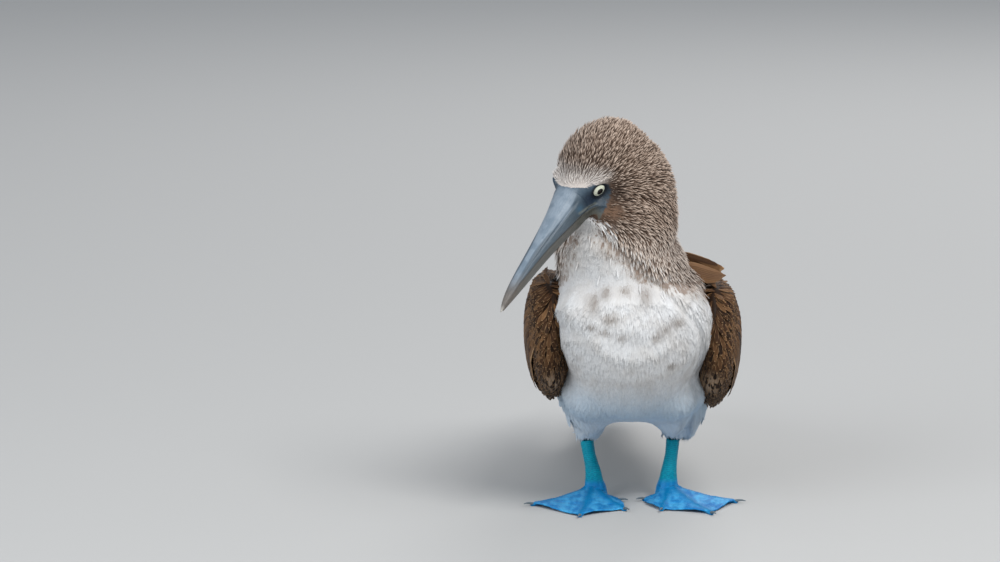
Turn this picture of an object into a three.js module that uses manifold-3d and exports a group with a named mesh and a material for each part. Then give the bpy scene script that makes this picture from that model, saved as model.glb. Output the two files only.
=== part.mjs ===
// A life-size blue-footed booby, a seabird, standing still with its neck drawn in and its bill turned to its right.
// The bird faces -Y, its left side is +X and the floor is Z = 0. Lengths are millimetres and angles are degrees.
// Each part of the body is one closed mesh, and neighbours keep a gap of 0.3 mm.

import * as THREE from "three";
import { mergeVertices } from "three/addons/utils/BufferGeometryUtils.js";
import Module from "manifold-3d";

const wasm = await Module();
wasm.setup();

const { degToRad, lerp, clamp, smoothstep, seededRandom } = THREE.MathUtils;
const vec = (x, y, z) => new THREE.Vector3(x, y, z);

// Driving dimensions: a bird with a 105 mm bill and a 430 mm folded wing
const gap = 0.3;
const billLength = 103;
const billBase = { x: -44.5, y: -106, z: 231.5 };
const headTurn = 39;
const headDip = 38;
const headRoll = -5;
const eyeRadius = 6.4;
const stance = { width: 59, ankleHeight: 13, kneeHeight: 42, kneeSet: 63 };
const toeLengths = { outer: 54, middle: 73, inner: 54, hind: 25 };
const clawLength = 6.5;
const webThickness = 1.5;
const vaneThickness = 1.1;
const tailLength = 178;

// Finishes
const finish = (color, roughness) => new THREE.MeshStandardMaterial({ color, roughness, metalness: 0 });
const paleBrownFeather = finish(0x9c8775, 0.9);
const whiteFeather = finish(0xdfddd8, 0.9);
const darkBrownFeather = finish(0x5a4031, 0.85);
const greyHorn = finish(0x8497a3, 0.5);
const blueSkin = finish(0x1f93bd, 0.55);
const clawHorn = finish(0x5d6a70, 0.45);
const paleIris = finish(0xd6dfb4, 0.15);

// Closed solids from rings and grids of points

// A geometry as a solid that can be joined and cut, turned right side out.
function solidOf(geometry) {
  const bare = geometry.index ? geometry.toNonIndexed() : geometry.clone();
  bare.deleteAttribute("normal");
  bare.deleteAttribute("uv");
  const merged = mergeVertices(bare, 1e-4);
  const vertProperties = merged.attributes.position.array;
  const triVerts = new Uint32Array(merged.index.array);
  const made = new wasm.Manifold(new wasm.Mesh({ numProp: 3, vertProperties, triVerts }));
  if (made.volume() > 0) return made;
  for (let i = 0; i < triVerts.length; i += 3) {
    [triVerts[i + 1], triVerts[i + 2]] = [triVerts[i + 2], triVerts[i + 1]];
  }
  return new wasm.Manifold(new wasm.Mesh({ numProp: 3, vertProperties, triVerts }));
}

function geometryFrom(points, faces) {
  const geometry = new THREE.BufferGeometry();
  geometry.setAttribute("position", new THREE.Float32BufferAttribute(points.flatMap((p) => p.toArray()), 3));
  geometry.setIndex(faces);
  return geometry;
}

// Skins rings of equal count, in order, and closes both ends with a fan.
function loft(rings) {
  const sides = rings[0].length;
  const points = rings.flat();
  const faces = [];
  for (let i = 0; i + 1 < rings.length; i++) {
    for (let j = 0; j < sides; j++) {
      const a = i * sides + j;
      const b = i * sides + ((j + 1) % sides);
      faces.push(a, b, b + sides, a, b + sides, a + sides);
    }
  }
  for (const [ring, first, flip] of [[rings[0], 0, 1], [rings.at(-1), (rings.length - 1) * sides, 0]]) {
    const centre = points.length;
    points.push(ring.reduce((sum, p) => sum.add(p), vec(0, 0, 0)).divideScalar(sides));
    for (let j = 0; j < sides; j++) {
      const pair = [first + j, first + ((j + 1) % sides)];
      faces.push(centre, pair[flip], pair[1 - flip]);
    }
  }
  return solidOf(geometryFrom(points, faces));
}

// A thin sheet over a grid of points, each with a normal and a thickness, with both faces split alike.
function sheet(grid) {
  const rows = grid.length;
  const columns = grid[0].length;
  const flat = grid.flat();
  const face = (side) => flat.map((g) => g.point.clone().addScaledVector(g.normal, (side * g.thickness) / 2));
  const points = [...face(1), ...face(-1)];
  const under = flat.length;
  const faces = [];
  for (let i = 0; i + 1 < rows; i++) {
    for (let j = 0; j + 1 < columns; j++) {
      const [a, b, c, d] = [i * columns + j, i * columns + j + 1, (i + 1) * columns + j + 1, (i + 1) * columns + j];
      faces.push(a, b, c, a, c, d);
      faces.push(under + a, under + c, under + b, under + a, under + d, under + c);
    }
  }
  const edge = [];
  for (let j = 0; j + 1 < columns; j++) edge.push(j);
  for (let i = 0; i + 1 < rows; i++) edge.push(i * columns + columns - 1);
  for (let j = columns - 1; j > 0; j--) edge.push((rows - 1) * columns + j);
  for (let i = rows - 1; i > 0; i--) edge.push(i * columns);
  edge.forEach((a, k) => {
    const b = edge[(k + 1) % edge.length];
    faces.push(b, a, under + a, b, under + a, under + b);
  });
  return solidOf(geometryFrom(points, faces));
}

// A body swept through stations [x, y, z, half width, half height above, half height below].
// Its width lies along side, and its height along side crossed with the path.
function swept(stations, ringCount, sides, side = vec(1, 0, 0), grow = 0) {
  const path = new THREE.CatmullRomCurve3(stations.map((s) => vec(s[0], s[1], s[2])), false, "centripetal");
  const girth = new THREE.CatmullRomCurve3(stations.map((s) => vec(s[3], s[4], s[5])), false, "centripetal");
  const rings = [];
  for (let i = 0; i < ringCount; i++) {
    const t = i / (ringCount - 1);
    const centre = path.getPoint(t);
    const along = path.getTangent(t);
    const across = side.clone().addScaledVector(along, -along.dot(side)).normalize();
    const up = across.clone().cross(along).normalize();
    const [width, above, below] = girth.getPoint(t).toArray().map((r) => Math.max(r, 0.4) + grow);
    const ring = [];
    for (let j = 0; j < sides; j++) {
      const angle = (2 * Math.PI * j) / sides;
      const height = Math.sin(angle) > 0 ? above : below;
      ring.push(
        centre.clone().addScaledVector(across, width * Math.cos(angle)).addScaledVector(up, height * Math.sin(angle)),
      );
    }
    rings.push(ring);
  }
  return loft(rings);
}

const joined = (solids) => wasm.Manifold.union(solids);

// Keeps the largest closed body of a solid, which drops any loose scrap that a cut leaves.
function largest(solid) {
  return solid.decompose().reduce((best, piece) => (piece.volume() > best.volume() ? piece : best));
}

// Keeps what lies on the side of a plane that its normal points to.
const keepSide = (solid, normal, point) => {
  const n = normal.clone().normalize();
  return solid.trimByPlane(n.toArray(), n.dot(point));
};
const shifted = (point, normal, distance) => point.clone().addScaledVector(normal.clone().normalize(), distance);

// Frames that carry the parts

const bird = new THREE.Group();

// The head's frame has +X along the bill, +Y to the bird's left and +Z up from the crown, from the bill's base.
const headFrame = new THREE.Group();
headFrame.position.set(billBase.x, billBase.y, billBase.z);
headFrame.rotation.set(degToRad(headRoll), degToRad(headDip), degToRad(-90 - headTurn), "ZYX");
headFrame.updateMatrix();
bird.add(headFrame);

const inFrame = (solid, frame) => solid.transform(frame.matrix.elements);
const outOfFrame = (solid, frame) => solid.transform(frame.matrix.clone().invert().elements);

// Adds one named mesh to a frame, from a solid given in the bird's own frame.
function addPart(name, solid, material, frame = bird) {
  const own = frame === bird ? solid : outOfFrame(solid, frame);
  const { numProp, numVert, vertProperties, triVerts } = own.getMesh();
  const positions = new Float32Array(numVert * 3);
  for (let i = 0; i < numVert; i++) positions.set(vertProperties.subarray(i * numProp, i * numProp + 3), i * 3);
  const geometry = new THREE.BufferGeometry();
  geometry.setAttribute("position", new THREE.BufferAttribute(positions, 3));
  geometry.setIndex(new THREE.BufferAttribute(triVerts, 1));
  geometry.computeVertexNormals();
  const mesh = new THREE.Mesh(geometry, material);
  mesh.name = name;
  frame.add(mesh);
}

// Bill: two horny sheaths that meet along the line of the mouth
// Each station is [distance from the base, half width, culmen height, mouth line height, lower edge height].

const billStations = [
  [-1, 14.2, 16.2, -1.0, -15.2],
  [8, 12.6, 13.8, -1.2, -14.8],
  [20, 10.4, 11.2, -1.2, -13.0],
  [36, 8.2, 8.4, -0.3, -11.4],
  [54, 6.4, 6.1, 0.4, -9.6],
  [72, 5.0, 4.0, 0.4, -8.1],
  [86, 3.6, 2.1, -0.6, -6.6],
  [96, 2.2, -0.2, -2.2, -5.5],
  [billLength, 0.6, -3.6, -4.3, -5.0],
];
const grooveAngle = 38;
const grooveDepth = 0.08;

// One ring of the upper sheath: a rounded roof with a groove along each side over a flat cutting edge.
function upperBillRing([x, width, culmen, mouth], grow = 0) {
  const angles = [0, 24, grooveAngle, 52, 72, 90, 108, 128, 180 - grooveAngle, 156, 180];
  const roof = angles.map((angle) => {
    const a = degToRad(angle);
    const inGroove = Math.abs(Math.abs(angle - 90) - (90 - grooveAngle)) < 1;
    const reach = inGroove ? 1 - grooveDepth : 1;
    const y = (width + grow) * Math.cos(a) * reach;
    return vec(x, y, mouth + gap / 2 - grow + (culmen - mouth + 2 * grow) * Math.sin(a) ** 0.9 * reach);
  });
  return [...roof, vec(x, 0, mouth + gap / 2 - grow)];
}

// One ring of the lower sheath, a keel under the same flat edge.
function lowerBillRing([x, width, , mouth, keel], grow = 0) {
  const lower = [180, 205, 235, 270, 305, 335, 360].map((angle) => {
    const a = degToRad(angle);
    const y = (width * 0.96 + grow) * Math.cos(a);
    return vec(x, y, mouth - gap / 2 + grow + (mouth - keel + 2 * grow) * Math.sin(a));
  });
  return [...lower, vec(x, 0, mouth - gap / 2 + grow)];
}

const lowerBillStations = billStations.map((s, i) => (i === billStations.length - 1 ? [s[0] - 2.5, ...s.slice(1)] : s));
const billUpper = inFrame(loft(billStations.map((s) => upperBillRing(s))), headFrame);
const billLower = inFrame(loft(lowerBillStations.map((s) => lowerBillRing(s))), headFrame);
const billRoom = inFrame(
  joined([
    loft([billStations[0].with(0, -1 - gap), ...billStations].map((s) => upperBillRing(s, 1.4 * gap))),
    loft([lowerBillStations[0].with(0, -1 - gap), ...lowerBillStations].map((s) => lowerBillRing(s, 1.4 * gap))),
  ]),
  headFrame,
);

// Flesh and plumage of the trunk, neck and head, modelled whole and parted by thin cuts

const trunkStations = [
  [0, -123, 147, 3, 3, 3],
  [0, -117, 147, 33, 24, 26],
  [0, -101, 146, 51, 40, 45],
  [0, -76, 143, 57.5, 47, 58],
  [0, -40, 134, 55, 53, 71],
  [0, 0, 121, 51, 54, 69],
  [0, 40, 110, 47, 48, 57],
  [0, 80, 99, 37, 36, 40],
  [0, 112, 92, 26, 24, 25],
  [0, 134, 88, 17, 15, 15],
];
const neckStations = [
  [0, -44, 122, 40, 36, 36],
  [-1, -54, 152, 53, 46, 46],
  [-4, -64, 175, 51, 46, 44],
  [-9, -73, 196, 42.5, 42, 40],
  [-8, -77, 212, 40.5, 39, 37],
  [-5, -74, 230, 37, 36, 34],
  [-5, -67, 250, 32, 33, 31],
  [-7, -64, 268, 22, 24, 24],
  [-8, -64, 280, 9, 10, 10],
];
const stanceOf = (way, y) => vec((way * stance.kneeSet) / 2, y + 9, stance.kneeHeight);
const feet = {
  left: { way: 1, yaw: 23, x: 29, y: 4, lean: 3.5, spread: [41, 0, -31, -75] },
  right: { way: -1, yaw: 8, x: -27.5, y: 0, lean: 0, spread: [48, 0, -33, -62] },
};
const thighOf = ({ way, y, lean }, grow = 0) => {
  const knee = stanceOf(way, y);
  return swept(
    [
      [way * 20, 12, 112, 24, 36, 34],
      [way * 28 + lean, 10, 92, 26, 37, 34],
      [way * 31 + lean, 9, 72, 25, 31, 28],
      [way * 30 + lean, 10, 56, 19.5, 22, 20],
      [knee.x + lean / 2, knee.y + 1, knee.z, 11.5, 12.5, 12.5],
      [knee.x + lean / 2, knee.y, knee.z - 8, 8, 9, 9],
    ],
    10, 18, vec(1, 0, 0), grow,
  );
};
const roomForThighs = Object.fromEntries(Object.entries(feet).map(([side, foot]) => [side, thighOf(foot, gap)]));
const mantleCentre = vec(-2, -28, 149);
const mantleRadii = vec(45, 62, 40);
const skullCentre = vec(-41.5, 0, -6);
const skullRadii = vec(41.5, 32, 34);
const eyeSeat = { x: -14.5, y: 13.9, z: 7.0 };

const ellipsoid = (centre, radii, across = 22, high = 14) => {
  const ball = new THREE.SphereGeometry(1, across, high);
  ball.scale(radii.x, radii.y, radii.z).translate(centre.x, centre.y, centre.z);
  return solidOf(ball);
};

// The bare face narrows from the skull to the bill's base.
const faceStations = [
  [-40, 0, -4, 25, 26, 24],
  [-24, 0, -1, 22.5, 22, 20],
  [-10, 0, 0.6, 18.2, 17.8, 16.8],
  [-1 - gap, 0, 1, 14.2, 15.4, 15.4],
];
const face = swept(faceStations, 6, 18, vec(0, 1, 0));

// Eye frames look out to each side, a little forward and down.
const sides = { left: 1, right: -1 };
function eyeFrame(way) {
  const frame = new THREE.Object3D();
  frame.position.set(eyeSeat.x, way * eyeSeat.y, eyeSeat.z);
  frame.lookAt(frame.position.clone().add(vec(0.42, way * 0.86, -0.18)));
  frame.updateMatrix();
  return frame;
}
const eyeBalls = Object.fromEntries(
  Object.entries(sides).map(([side, way]) => [side, eyeFrame(way)]),
);
const eyeball = (frame, radius) => solidOf(new THREE.SphereGeometry(radius, 14, 9)).transform(frame.matrix.elements);
const lidRing = (frame) => {
  const ring = new THREE.TorusGeometry(6.4, 1.2, 6, 18);
  ring.translate(0, 0, 3.9);
  return solidOf(ring).transform(frame.matrix.elements);
};

// The line of the mouth runs back from the bill under each eye.
const gapeCut = (way) => {
  const rows = [2, -3, -7, -11].map((x) => {
    const reach = 14.5 - x * 0.36;
    return [reach - 3.5, reach + 3].map((y) => ({
      point: vec(x, way * y, x * 0.2 - 0.8),
      normal: vec(0, 0, 1),
      thickness: 0.9,
    }));
  });
  return sheet(rows);
};

const skull = ellipsoid(skullCentre, skullRadii);
const headLocal = joined([skull, face]);
const headInBird = inFrame(headLocal, headFrame);
const neckColumn = swept(neckStations, 14, 26);
const nape = wasm.Manifold.hull([inFrame(skull, headFrame), keepSide(neckColumn, vec(0, 0, 1), vec(0, 0, 236))]);
const mantle = ellipsoid(mantleCentre, mantleRadii, 22, 12);
const body = joined([swept(trunkStations, 20, 26), neckColumn, mantle, headInBird, nape]);
const roomForTrunk = swept(trunkStations, 20, 26, vec(1, 0, 0), gap);
const roomForNeck = swept(neckStations, 14, 26, vec(1, 0, 0), gap);
const roomForMantle = ellipsoid(mantleCentre, mantleRadii.clone().addScalar(gap), 22, 12);

const neckCut = { normal: vec(0, -0.42, 0.9), point: vec(0, -80, 176) };
const headCut = { normal: vec(-0.05, -0.45, 0.87), point: vec(-8, -72, 226) };
const tailCut = { normal: vec(0, -1, 0.16), point: vec(0, 122, 90) };

const above = (solid, cut, offset = 0) => keepSide(solid, cut.normal, shifted(cut.point, cut.normal, offset));
const below = (solid, cut, offset = 0) =>
  keepSide(solid, cut.normal.clone().negate(), shifted(cut.point, cut.normal, offset));

const torso = above(below(body, neckCut), tailCut);
const neck = below(above(body, neckCut, gap), headCut).subtract(billRoom);
const lids = Object.values(eyeBalls).map((frame) => lidRing(frame));
const sockets = Object.values(eyeBalls).map((frame) => eyeball(frame, eyeRadius + gap));
const mouthLine = Object.values(sides).map((way) => gapeCut(way));
const headDressed = above(body, headCut, gap)
  .add(inFrame(joined(lids), headFrame))
  .subtract(inFrame(joined([...sockets, ...mouthLine]), headFrame))
  .subtract(billRoom);

addPart("torso", largest(torso), whiteFeather);
addPart("neck", largest(neck), paleBrownFeather);
addPart("head", largest(headDressed), paleBrownFeather, headFrame);
addPart("bill_upper", billUpper, greyHorn, headFrame);
addPart("bill_lower", billLower, greyHorn, headFrame);
for (const [side, frame] of Object.entries(eyeBalls)) {
  addPart(`eye_${side}`, inFrame(eyeball(frame, eyeRadius), headFrame), paleIris, headFrame);
}

// Wings: a folded arm and hand against the flank, with tiers of vanes over it, cut clear of the trunk

// The left wing, from the bend at the shoulder to the tip over the tail.
// Each station is [x, y, z, half width, half height above, half height below].
const wingStations = [
  [56, -75, 154, 4, 10, 12],
  [60, -67, 150, 9, 23, 28],
  [61, -48, 141, 13.5, 34, 43],
  [60, -20, 130, 16.5, 41, 46],
  [59, 20, 120, 15, 43, 45],
  [53, 70, 109, 12, 38, 37],
  [44, 130, 97, 8, 29, 24],
  [33, 190, 83, 5, 18, 14],
  [24, 250, 66, 3, 10, 8],
  [18, 290, 54, 1, 2, 2],
];
const wings = { left: { way: 1, droop: -6, spread: -0.5 }, right: { way: -1, droop: 0, spread: -2.5 } };

// Tiers of vanes along the left wing: [number, first root, last root, first tip, last tip, half width, lift, fan].
// A root or tip is [y, height as a share of the wing's half height], and each tier lies over the one before.
// The fan is how much higher each tip lies than the one below it.
const wingTiers = {
  primaries: [6, [98, -0.68], [66, 0.4], [322, -0.4], [224, 0.75], 6.6, 0.85, 0.75],
  secondaries: [6, [-10, -0.8], [40, 0.6], [116, -0.78], [186, 0.62], 9.6, 1.9, 0.3],
  coverts: [6, [-58, -0.62], [-22, 0.66], [30, -0.86], [88, 0.66], 9.4, 3, 0.15],
  tertials: [2, [-44, 0.78], [-30, 0.98], [134, 0.76], [168, 0.98], 9.5, 3.4, 0.3],
};

// The value of column k of a table at y, between the rows on either side.
function atY(table, y, k) {
  const next = table.findIndex((row) => row[1] > y);
  const row = next < 0 ? table.length - 2 : Math.max(next - 1, 0);
  return lerp(table[row][k], table[row + 1][k], (y - table[row][1]) / (table[row + 1][1] - table[row][1]));
}

// A point lifted off the wing's outer face, and the way out from there.
function onWing(stations, y, z, lift) {
  const depth = (yy, zz) => {
    const [x, mid, width, above, below] = [0, 2, 3, 4, 5].map((k) => atY(stations, Math.min(yy, 300), k));
    const off = zz - mid;
    const share = clamp(off / Math.max(off > 0 ? above : below, 6), -1.02, 1.02);
    return x + Math.max(width, 2) * Math.sqrt(1 - 0.88 * share * share);
  };
  const normal = vec(1, (depth(y - 2, z) - depth(y + 2, z)) / 4, (depth(y, z - 2) - depth(y, z + 2)) / 4).normalize();
  return { point: vec(depth(y, z), y, z).addScaledVector(normal, lift), normal };
}

// A vane as a leaf-shaped sheet: its root is sunk, its lower edge lifted over the vane below and its tip thin.
function vane(stations, root, tip, halfWidth, lift, fan) {
  const height = ([y, share]) => {
    const side = share > 0 ? 4 : 5;
    return atY(stations, y, 2) + share * Math.max(atY(stations, Math.min(y, 290), side), 5);
  };
  const [start, end] = [vec(root[0], height(root), 0), vec(tip[0], height(tip), 0)];
  const run = end.clone().sub(start).normalize();
  const rows = [[0, 0.5, -lift - 2, 1], [0.3, 1, 0, 1], [0.8, 0.85, 0.4, 0.75], [1, 0.12, 0.5, 0.5]];
  const grid = rows.map(([t, share, rise, thick]) =>
    [-1, 0, 1].map((across) => {
      const y = lerp(start.x, end.x, t) - run.y * across * halfWidth * share;
      const z = lerp(start.y, end.y, t) + run.x * across * halfWidth * share;
      const spot = onWing(stations, y, z, lift + rise + fan * t - 0.75 * across * share);
      return { ...spot, thickness: vaneThickness * thick * (across ? 0.8 : 1) };
    }),
  );
  return sheet(grid);
}

// Ruffled scapular feathers stand out over the left shoulder, each a flattened lock with a rounded point.
function scapularTuft() {
  const locks = [
    [[27, -58, 187], [45, -54, 182.5], [58, -46, 176], [64.5, -40, 172.5], 13],
    [[34, -66, 180], [48, -62, 175], [57, -54, 168.5], [61, -48, 166], 12],
    [[30, -44, 184], [45, -38, 178], [54, -26, 170], [59, -14, 164], 12],
  ];
  return locks.map(([a, b, c, d, width]) =>
    swept([[...a, width * 0.6, 3, 5], [...b, width, 3.2, 6], [...c, width * 0.7, 1.6, 4], [...d, 1, 0.6, 0.8]], 6, 7, vec(0, -1, 0)),
  );
}

const tailStations = [
  [0, 112, 92, 24, 22, 22],
  [0, 145, 82, 23, 10, 10],
  [0, 180, 70, 20, 5, 5],
  [0, 215, 58.5, 14, 2.4, 2.4],
  [0, 240, 50.5, 4, 1, 1],
];
const tailRoom = swept([[0, 112, 92, 27, 24, 24], [0, 150, 80, 27, 12, 12], [0, 200, 64, 30, 7, 8], [0, 330, 22, 30, 6, 8]], 12, 16);

for (const [side, { way, droop, spread }] of Object.entries(wings)) {
  const stations = wingStations.map(([x, y, z, ...girth]) => {
    const share = smoothstep(y, -84, -30) * (1 - smoothstep(y, 60, 250));
    return [x + spread * share, y, z + droop * share, ...girth];
  });
  const vary = seededRandom;
  vary(side === "left" ? 7 : 11);
  const vanes = Object.values(wingTiers).flatMap(([count, root0, root1, tip0, tip1, halfWidth, lift, fan]) =>
    Array.from({ length: count }, (_, i) => {
      const t = i / (count - 1);
      const mix = (a, b) => [lerp(a[0], b[0], t), lerp(a[1], b[1], t)];
      const tip = mix(tip0, tip1);
      return vane(stations, mix(root0, root1), [tip[0] + 8 * (vary() - 0.5), tip[1]], halfWidth, lift, fan * i);
    }),
  );
  if (way > 0) vanes.push(...scapularTuft());
  const wing = joined([swept(stations, 16, 16), ...vanes]).scale([way, 1, 1]);
  const clear = wing.subtract(joined([roomForTrunk, roomForNeck, roomForMantle, tailRoom, ...Object.values(roomForThighs)]));
  addPart(`wing_${side}`, largest(clear), darkBrownFeather);
}

// Tail: stiff pointed feathers, the middle pair longest and uppermost
const tailFeathers = 10;
const tailVanes = Array.from({ length: tailFeathers }, (_, i) => {
  const place = (i - (tailFeathers - 1) / 2) / ((tailFeathers - 1) / 2);
  const reach = tailLength + 20 - 78 * Math.abs(place) ** 1.15;
  const rows = [[0, 0.6, 1], [0.4, 1, 1], [0.72, 0.9, 0.85], [0.9, 0.5, 0.6], [1, 0.1, 0.5]];
  return sheet(
    rows.map(([t, share, thick]) =>
      [-1, 0, 1].map((across) => {
        const y = 124 + reach * t;
        const x = place * lerp(14, 25, t ** 0.7) + 6.2 * share * across;
        const drop = 3.2 * Math.abs(place) + 0.018 * x * x;
        const z = 88.5 - (y - 124) * 0.325 + 2.2 - drop + 0.35 * Math.sign(place) * across;
        return { point: vec(x, y, z), normal: vec(0, 0.31, 0.95), thickness: vaneThickness * thick };
      }),
    ),
  );
});
const tail = below(joined([swept(tailStations, 12, 16), ...tailVanes]), tailCut, -gap);
addPart("tail", largest(tail), darkBrownFeather);

// Legs: a feathered thigh, a bare scaly tarsus and a foot whose four toes share one web

const toeRoot = 7;
const toeTip = 3;

// A toe as a tapering rod with a swelling at each joint, lying along -Y of the foot.
function toe(length, angle) {
  const turn = degToRad(angle);
  const dir = vec(Math.sin(turn), -Math.cos(turn), 0);
  const stations = [0, 0.2, 0.36, 0.52, 0.68, 0.84, 1].map((t, i) => {
    const radius = lerp(toeRoot, toeTip, t ** 0.6) * (i % 2 ? 0.92 : 1.05) * 0.5;
    const rise = lerp(5.5, 0, smoothstep(t, 0, 0.4));
    return [dir.x * length * t, dir.y * length * t, rise + radius * 0.8, radius * 1.05, radius, radius];
  });
  return swept(stations, 7, 7, vec(dir.y, -dir.x, 0));
}

// The web between two toes, with its front edge drawn back in a shallow curve.
function web([lengthA, angleA], [lengthB, angleB]) {
  const rows = [0.04, 0.35, 0.68, 0.97].map((t) =>
    [0, 0.25, 0.5, 0.75, 1].map((across) => {
      const turn = degToRad(lerp(angleA, angleB, across));
      const scallop = 1 - 0.1 * 4 * across * (1 - across) * t;
      const reach = lerp(lengthA, lengthB, across) * t * scallop;
      const height = lerp(8.2, 2.0, smoothstep(t, 0, 0.75)) + 0.9 * Math.sin(Math.PI * 2 * across) * t;
      const point = vec(Math.sin(turn) * reach, -Math.cos(turn) * reach, height);
      return { point, normal: vec(0, 0, 1), thickness: webThickness };
    }),
  );
  return sheet(rows);
}

// A claw is seated in the toe's end and curves down from it.
function claw(length, angle, grow = 0) {
  const turn = degToRad(angle);
  const dir = vec(Math.sin(turn), -Math.cos(turn), 0);
  const stations = [0, 0.35, 0.7, 1].map((t) => {
    const reach = length - 1.5 - 1.5 * grow + (clawLength + 1.5 + 3 * grow) * t;
    const radius = lerp(toeTip * 0.4, 0.3, t);
    return [dir.x * reach, dir.y * reach, 1.6 + 1.1 * Math.sin(Math.PI * 0.75 * t), radius, radius, radius];
  });
  return swept(stations, 4, 6, vec(dir.y, -dir.x, 0), grow);
}

for (const [side, { way, yaw, x, y, lean, spread }] of Object.entries(feet)) {
  const frame = new THREE.Group();
  frame.position.set(x, y, 0);
  frame.rotation.z = degToRad(way * yaw);
  frame.updateMatrix();
  bird.add(frame);

  const names = Object.keys(toeLengths);
  const toes = names.map((name, i) => [toeLengths[name], way * spread[i]]);
  const hub = swept(
    [
      [-way * 3, 1, -3, 9, 7, 7],
      [-way * 2.4, 0, 6, 8.6, 7, 7],
      [-way * 1.2, 0, stance.ankleHeight, 6.8, 6.8, 6.8],
      [-way * 0.6, 0, 20, 5.8, 6.4, 6.4],
    ],
    6, 12,
  );
  const webs = [0, 1, 2].map((i) => web(toes[i], toes[i + 1]));
  const floor = vec(0, 0, 0);
  const foot = joined([hub, ...webs, ...toes.map(([length, angle]) => toe(length, angle))]).subtract(
    joined(toes.map(([length, angle]) => claw(length, angle, 1.6 * gap))),
  );
  const standing = keepSide(foot, vec(0, 0, 1), floor);
  const footTop = keepSide(standing, vec(0, 0, -1), vec(0, 0, stance.ankleHeight));
  addPart(`foot_${side}`, inFrame(largest(footTop), frame), blueSkin, frame);
  toes.forEach(([length, angle], i) => {
    const horn = keepSide(claw(length, angle), vec(0, 0, 1), floor);
    addPart(`claw_${side}_${names[i]}`, inFrame(horn, frame), clawHorn, frame);
  });

  const knee = stanceOf(way, y);
  const shank = swept(
    [
      [x - way * 2.4, y, stance.ankleHeight - 7, 8.6, 7, 7],
      [x - way * 1.2, y, stance.ankleHeight, 6.8, 6.8, 6.8],
      [x - way * 0.6, y, 20, 5.8, 6.4, 6.4],
      [lerp(x, knee.x, 0.5), lerp(y, knee.y, 0.5), 30, 4.8, 5.9, 5.9],
      [knee.x, knee.y, knee.z, 5.2, 6.6, 6.6],
      [knee.x, knee.y + 3, knee.z + 8, 5.6, 7, 7],
    ],
    9, 14,
  );
  const ankleTop = vec(0, 0, stance.ankleHeight + gap);
  const tarsus = keepSide(keepSide(shank, vec(0, 0, 1), ankleTop), vec(0, 0, -1), vec(0, 0, knee.z));
  addPart(`tarsus_${side}`, tarsus, blueSkin);

  const thigh = keepSide(thighOf(feet[side]), vec(0, 0, 1), vec(0, 0, knee.z + gap)).subtract(roomForTrunk);
  addPart(`thigh_${side}`, largest(thigh), whiteFeather);
}

// The box round the whole bird has its bottom centre at the origin.
const bounds = new THREE.Box3().setFromObject(bird, true);
const middle = bounds.getCenter(vec(0, 0, 0));
bird.position.set(-middle.x, -middle.y, -bounds.min.z);

export default bird;
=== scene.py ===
import math

import bmesh
import bpy
import numpy as np
from mathutils import Matrix, Vector


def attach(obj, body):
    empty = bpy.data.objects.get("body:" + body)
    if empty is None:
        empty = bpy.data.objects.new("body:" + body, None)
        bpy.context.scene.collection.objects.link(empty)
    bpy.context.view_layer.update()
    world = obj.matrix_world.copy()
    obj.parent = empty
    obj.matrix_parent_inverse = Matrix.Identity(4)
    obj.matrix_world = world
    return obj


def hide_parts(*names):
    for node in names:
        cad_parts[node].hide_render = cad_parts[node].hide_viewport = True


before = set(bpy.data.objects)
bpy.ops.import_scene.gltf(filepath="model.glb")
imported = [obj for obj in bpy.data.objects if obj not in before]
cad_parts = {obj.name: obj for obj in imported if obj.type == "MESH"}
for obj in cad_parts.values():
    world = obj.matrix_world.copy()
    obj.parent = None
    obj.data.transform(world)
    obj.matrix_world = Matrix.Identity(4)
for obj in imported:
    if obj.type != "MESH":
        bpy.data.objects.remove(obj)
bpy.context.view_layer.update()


# The bird stands on a plain pale sweep of card. A broad soft light stands high on its left, a weaker one on
# its right and a third behind it, and a long lens looks at it from a little above.
MM = 0.001
BIRD = Vector((0.005615, -0.0775006, 0.0))  # the floor at its ankles, on its mid-plane


def lit(name, place, aim, size, watts, colour):
    lamp = bpy.data.lights.new(name, "AREA")
    lamp.shape, lamp.size, lamp.energy, lamp.color = "DISK", size, watts, colour
    ob = bpy.data.objects.new(name, lamp)
    ob.location = place
    ob.rotation_euler = (Vector(aim) - Vector(place)).to_track_quat("-Z", "Y").to_euler()
    bpy.context.scene.collection.objects.link(ob)
    return ob


def shown(name, mesh, *materials, smooth=True):
    mesh.name = name
    for material in materials:
        mesh.materials.append(material)
    if smooth:
        mesh.polygons.foreach_set("use_smooth", np.ones(len(mesh.polygons), bool))
    ob = bpy.data.objects.new(name, mesh)
    bpy.context.scene.collection.objects.link(ob)
    return ob


def principled(name, **sockets):
    material = bpy.data.materials.new(name)
    material.use_nodes = True
    shader = material.node_tree.nodes["Principled BSDF"]
    for socket, value in sockets.items():
        shader.inputs[socket.replace("_", " ")].default_value = value
    return material, material.node_tree, shader


card_mesh = bpy.data.meshes.new("card_floor")
card_mesh.from_pydata([(-6, -5, 0), (6, -5, 0), (6, 7, 0), (-6, 7, 0)], [], [(0, 1, 2, 3)])
card, _, _ = principled("pale_card", Base_Color=(0.46, 0.46, 0.455, 1), Roughness=0.9)
floor = shown("card_floor", card_mesh, card, smooth=False)

key = lit("sky panel", (1.2, -2.2, 2.7), (0, 0, 0.15), 1.8, 104, (1.0, 0.985, 0.96))
fill = lit("fill panel", (-2.2, -2.4, 1.6), (0, 0, 0.12), 2.4, 52, (0.93, 0.97, 1.0))
rim = lit("back panel", (0.8, 2.4, 2.0), (0, 0, 0.15), 1.6, 30, (1.0, 0.98, 0.96))

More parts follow.
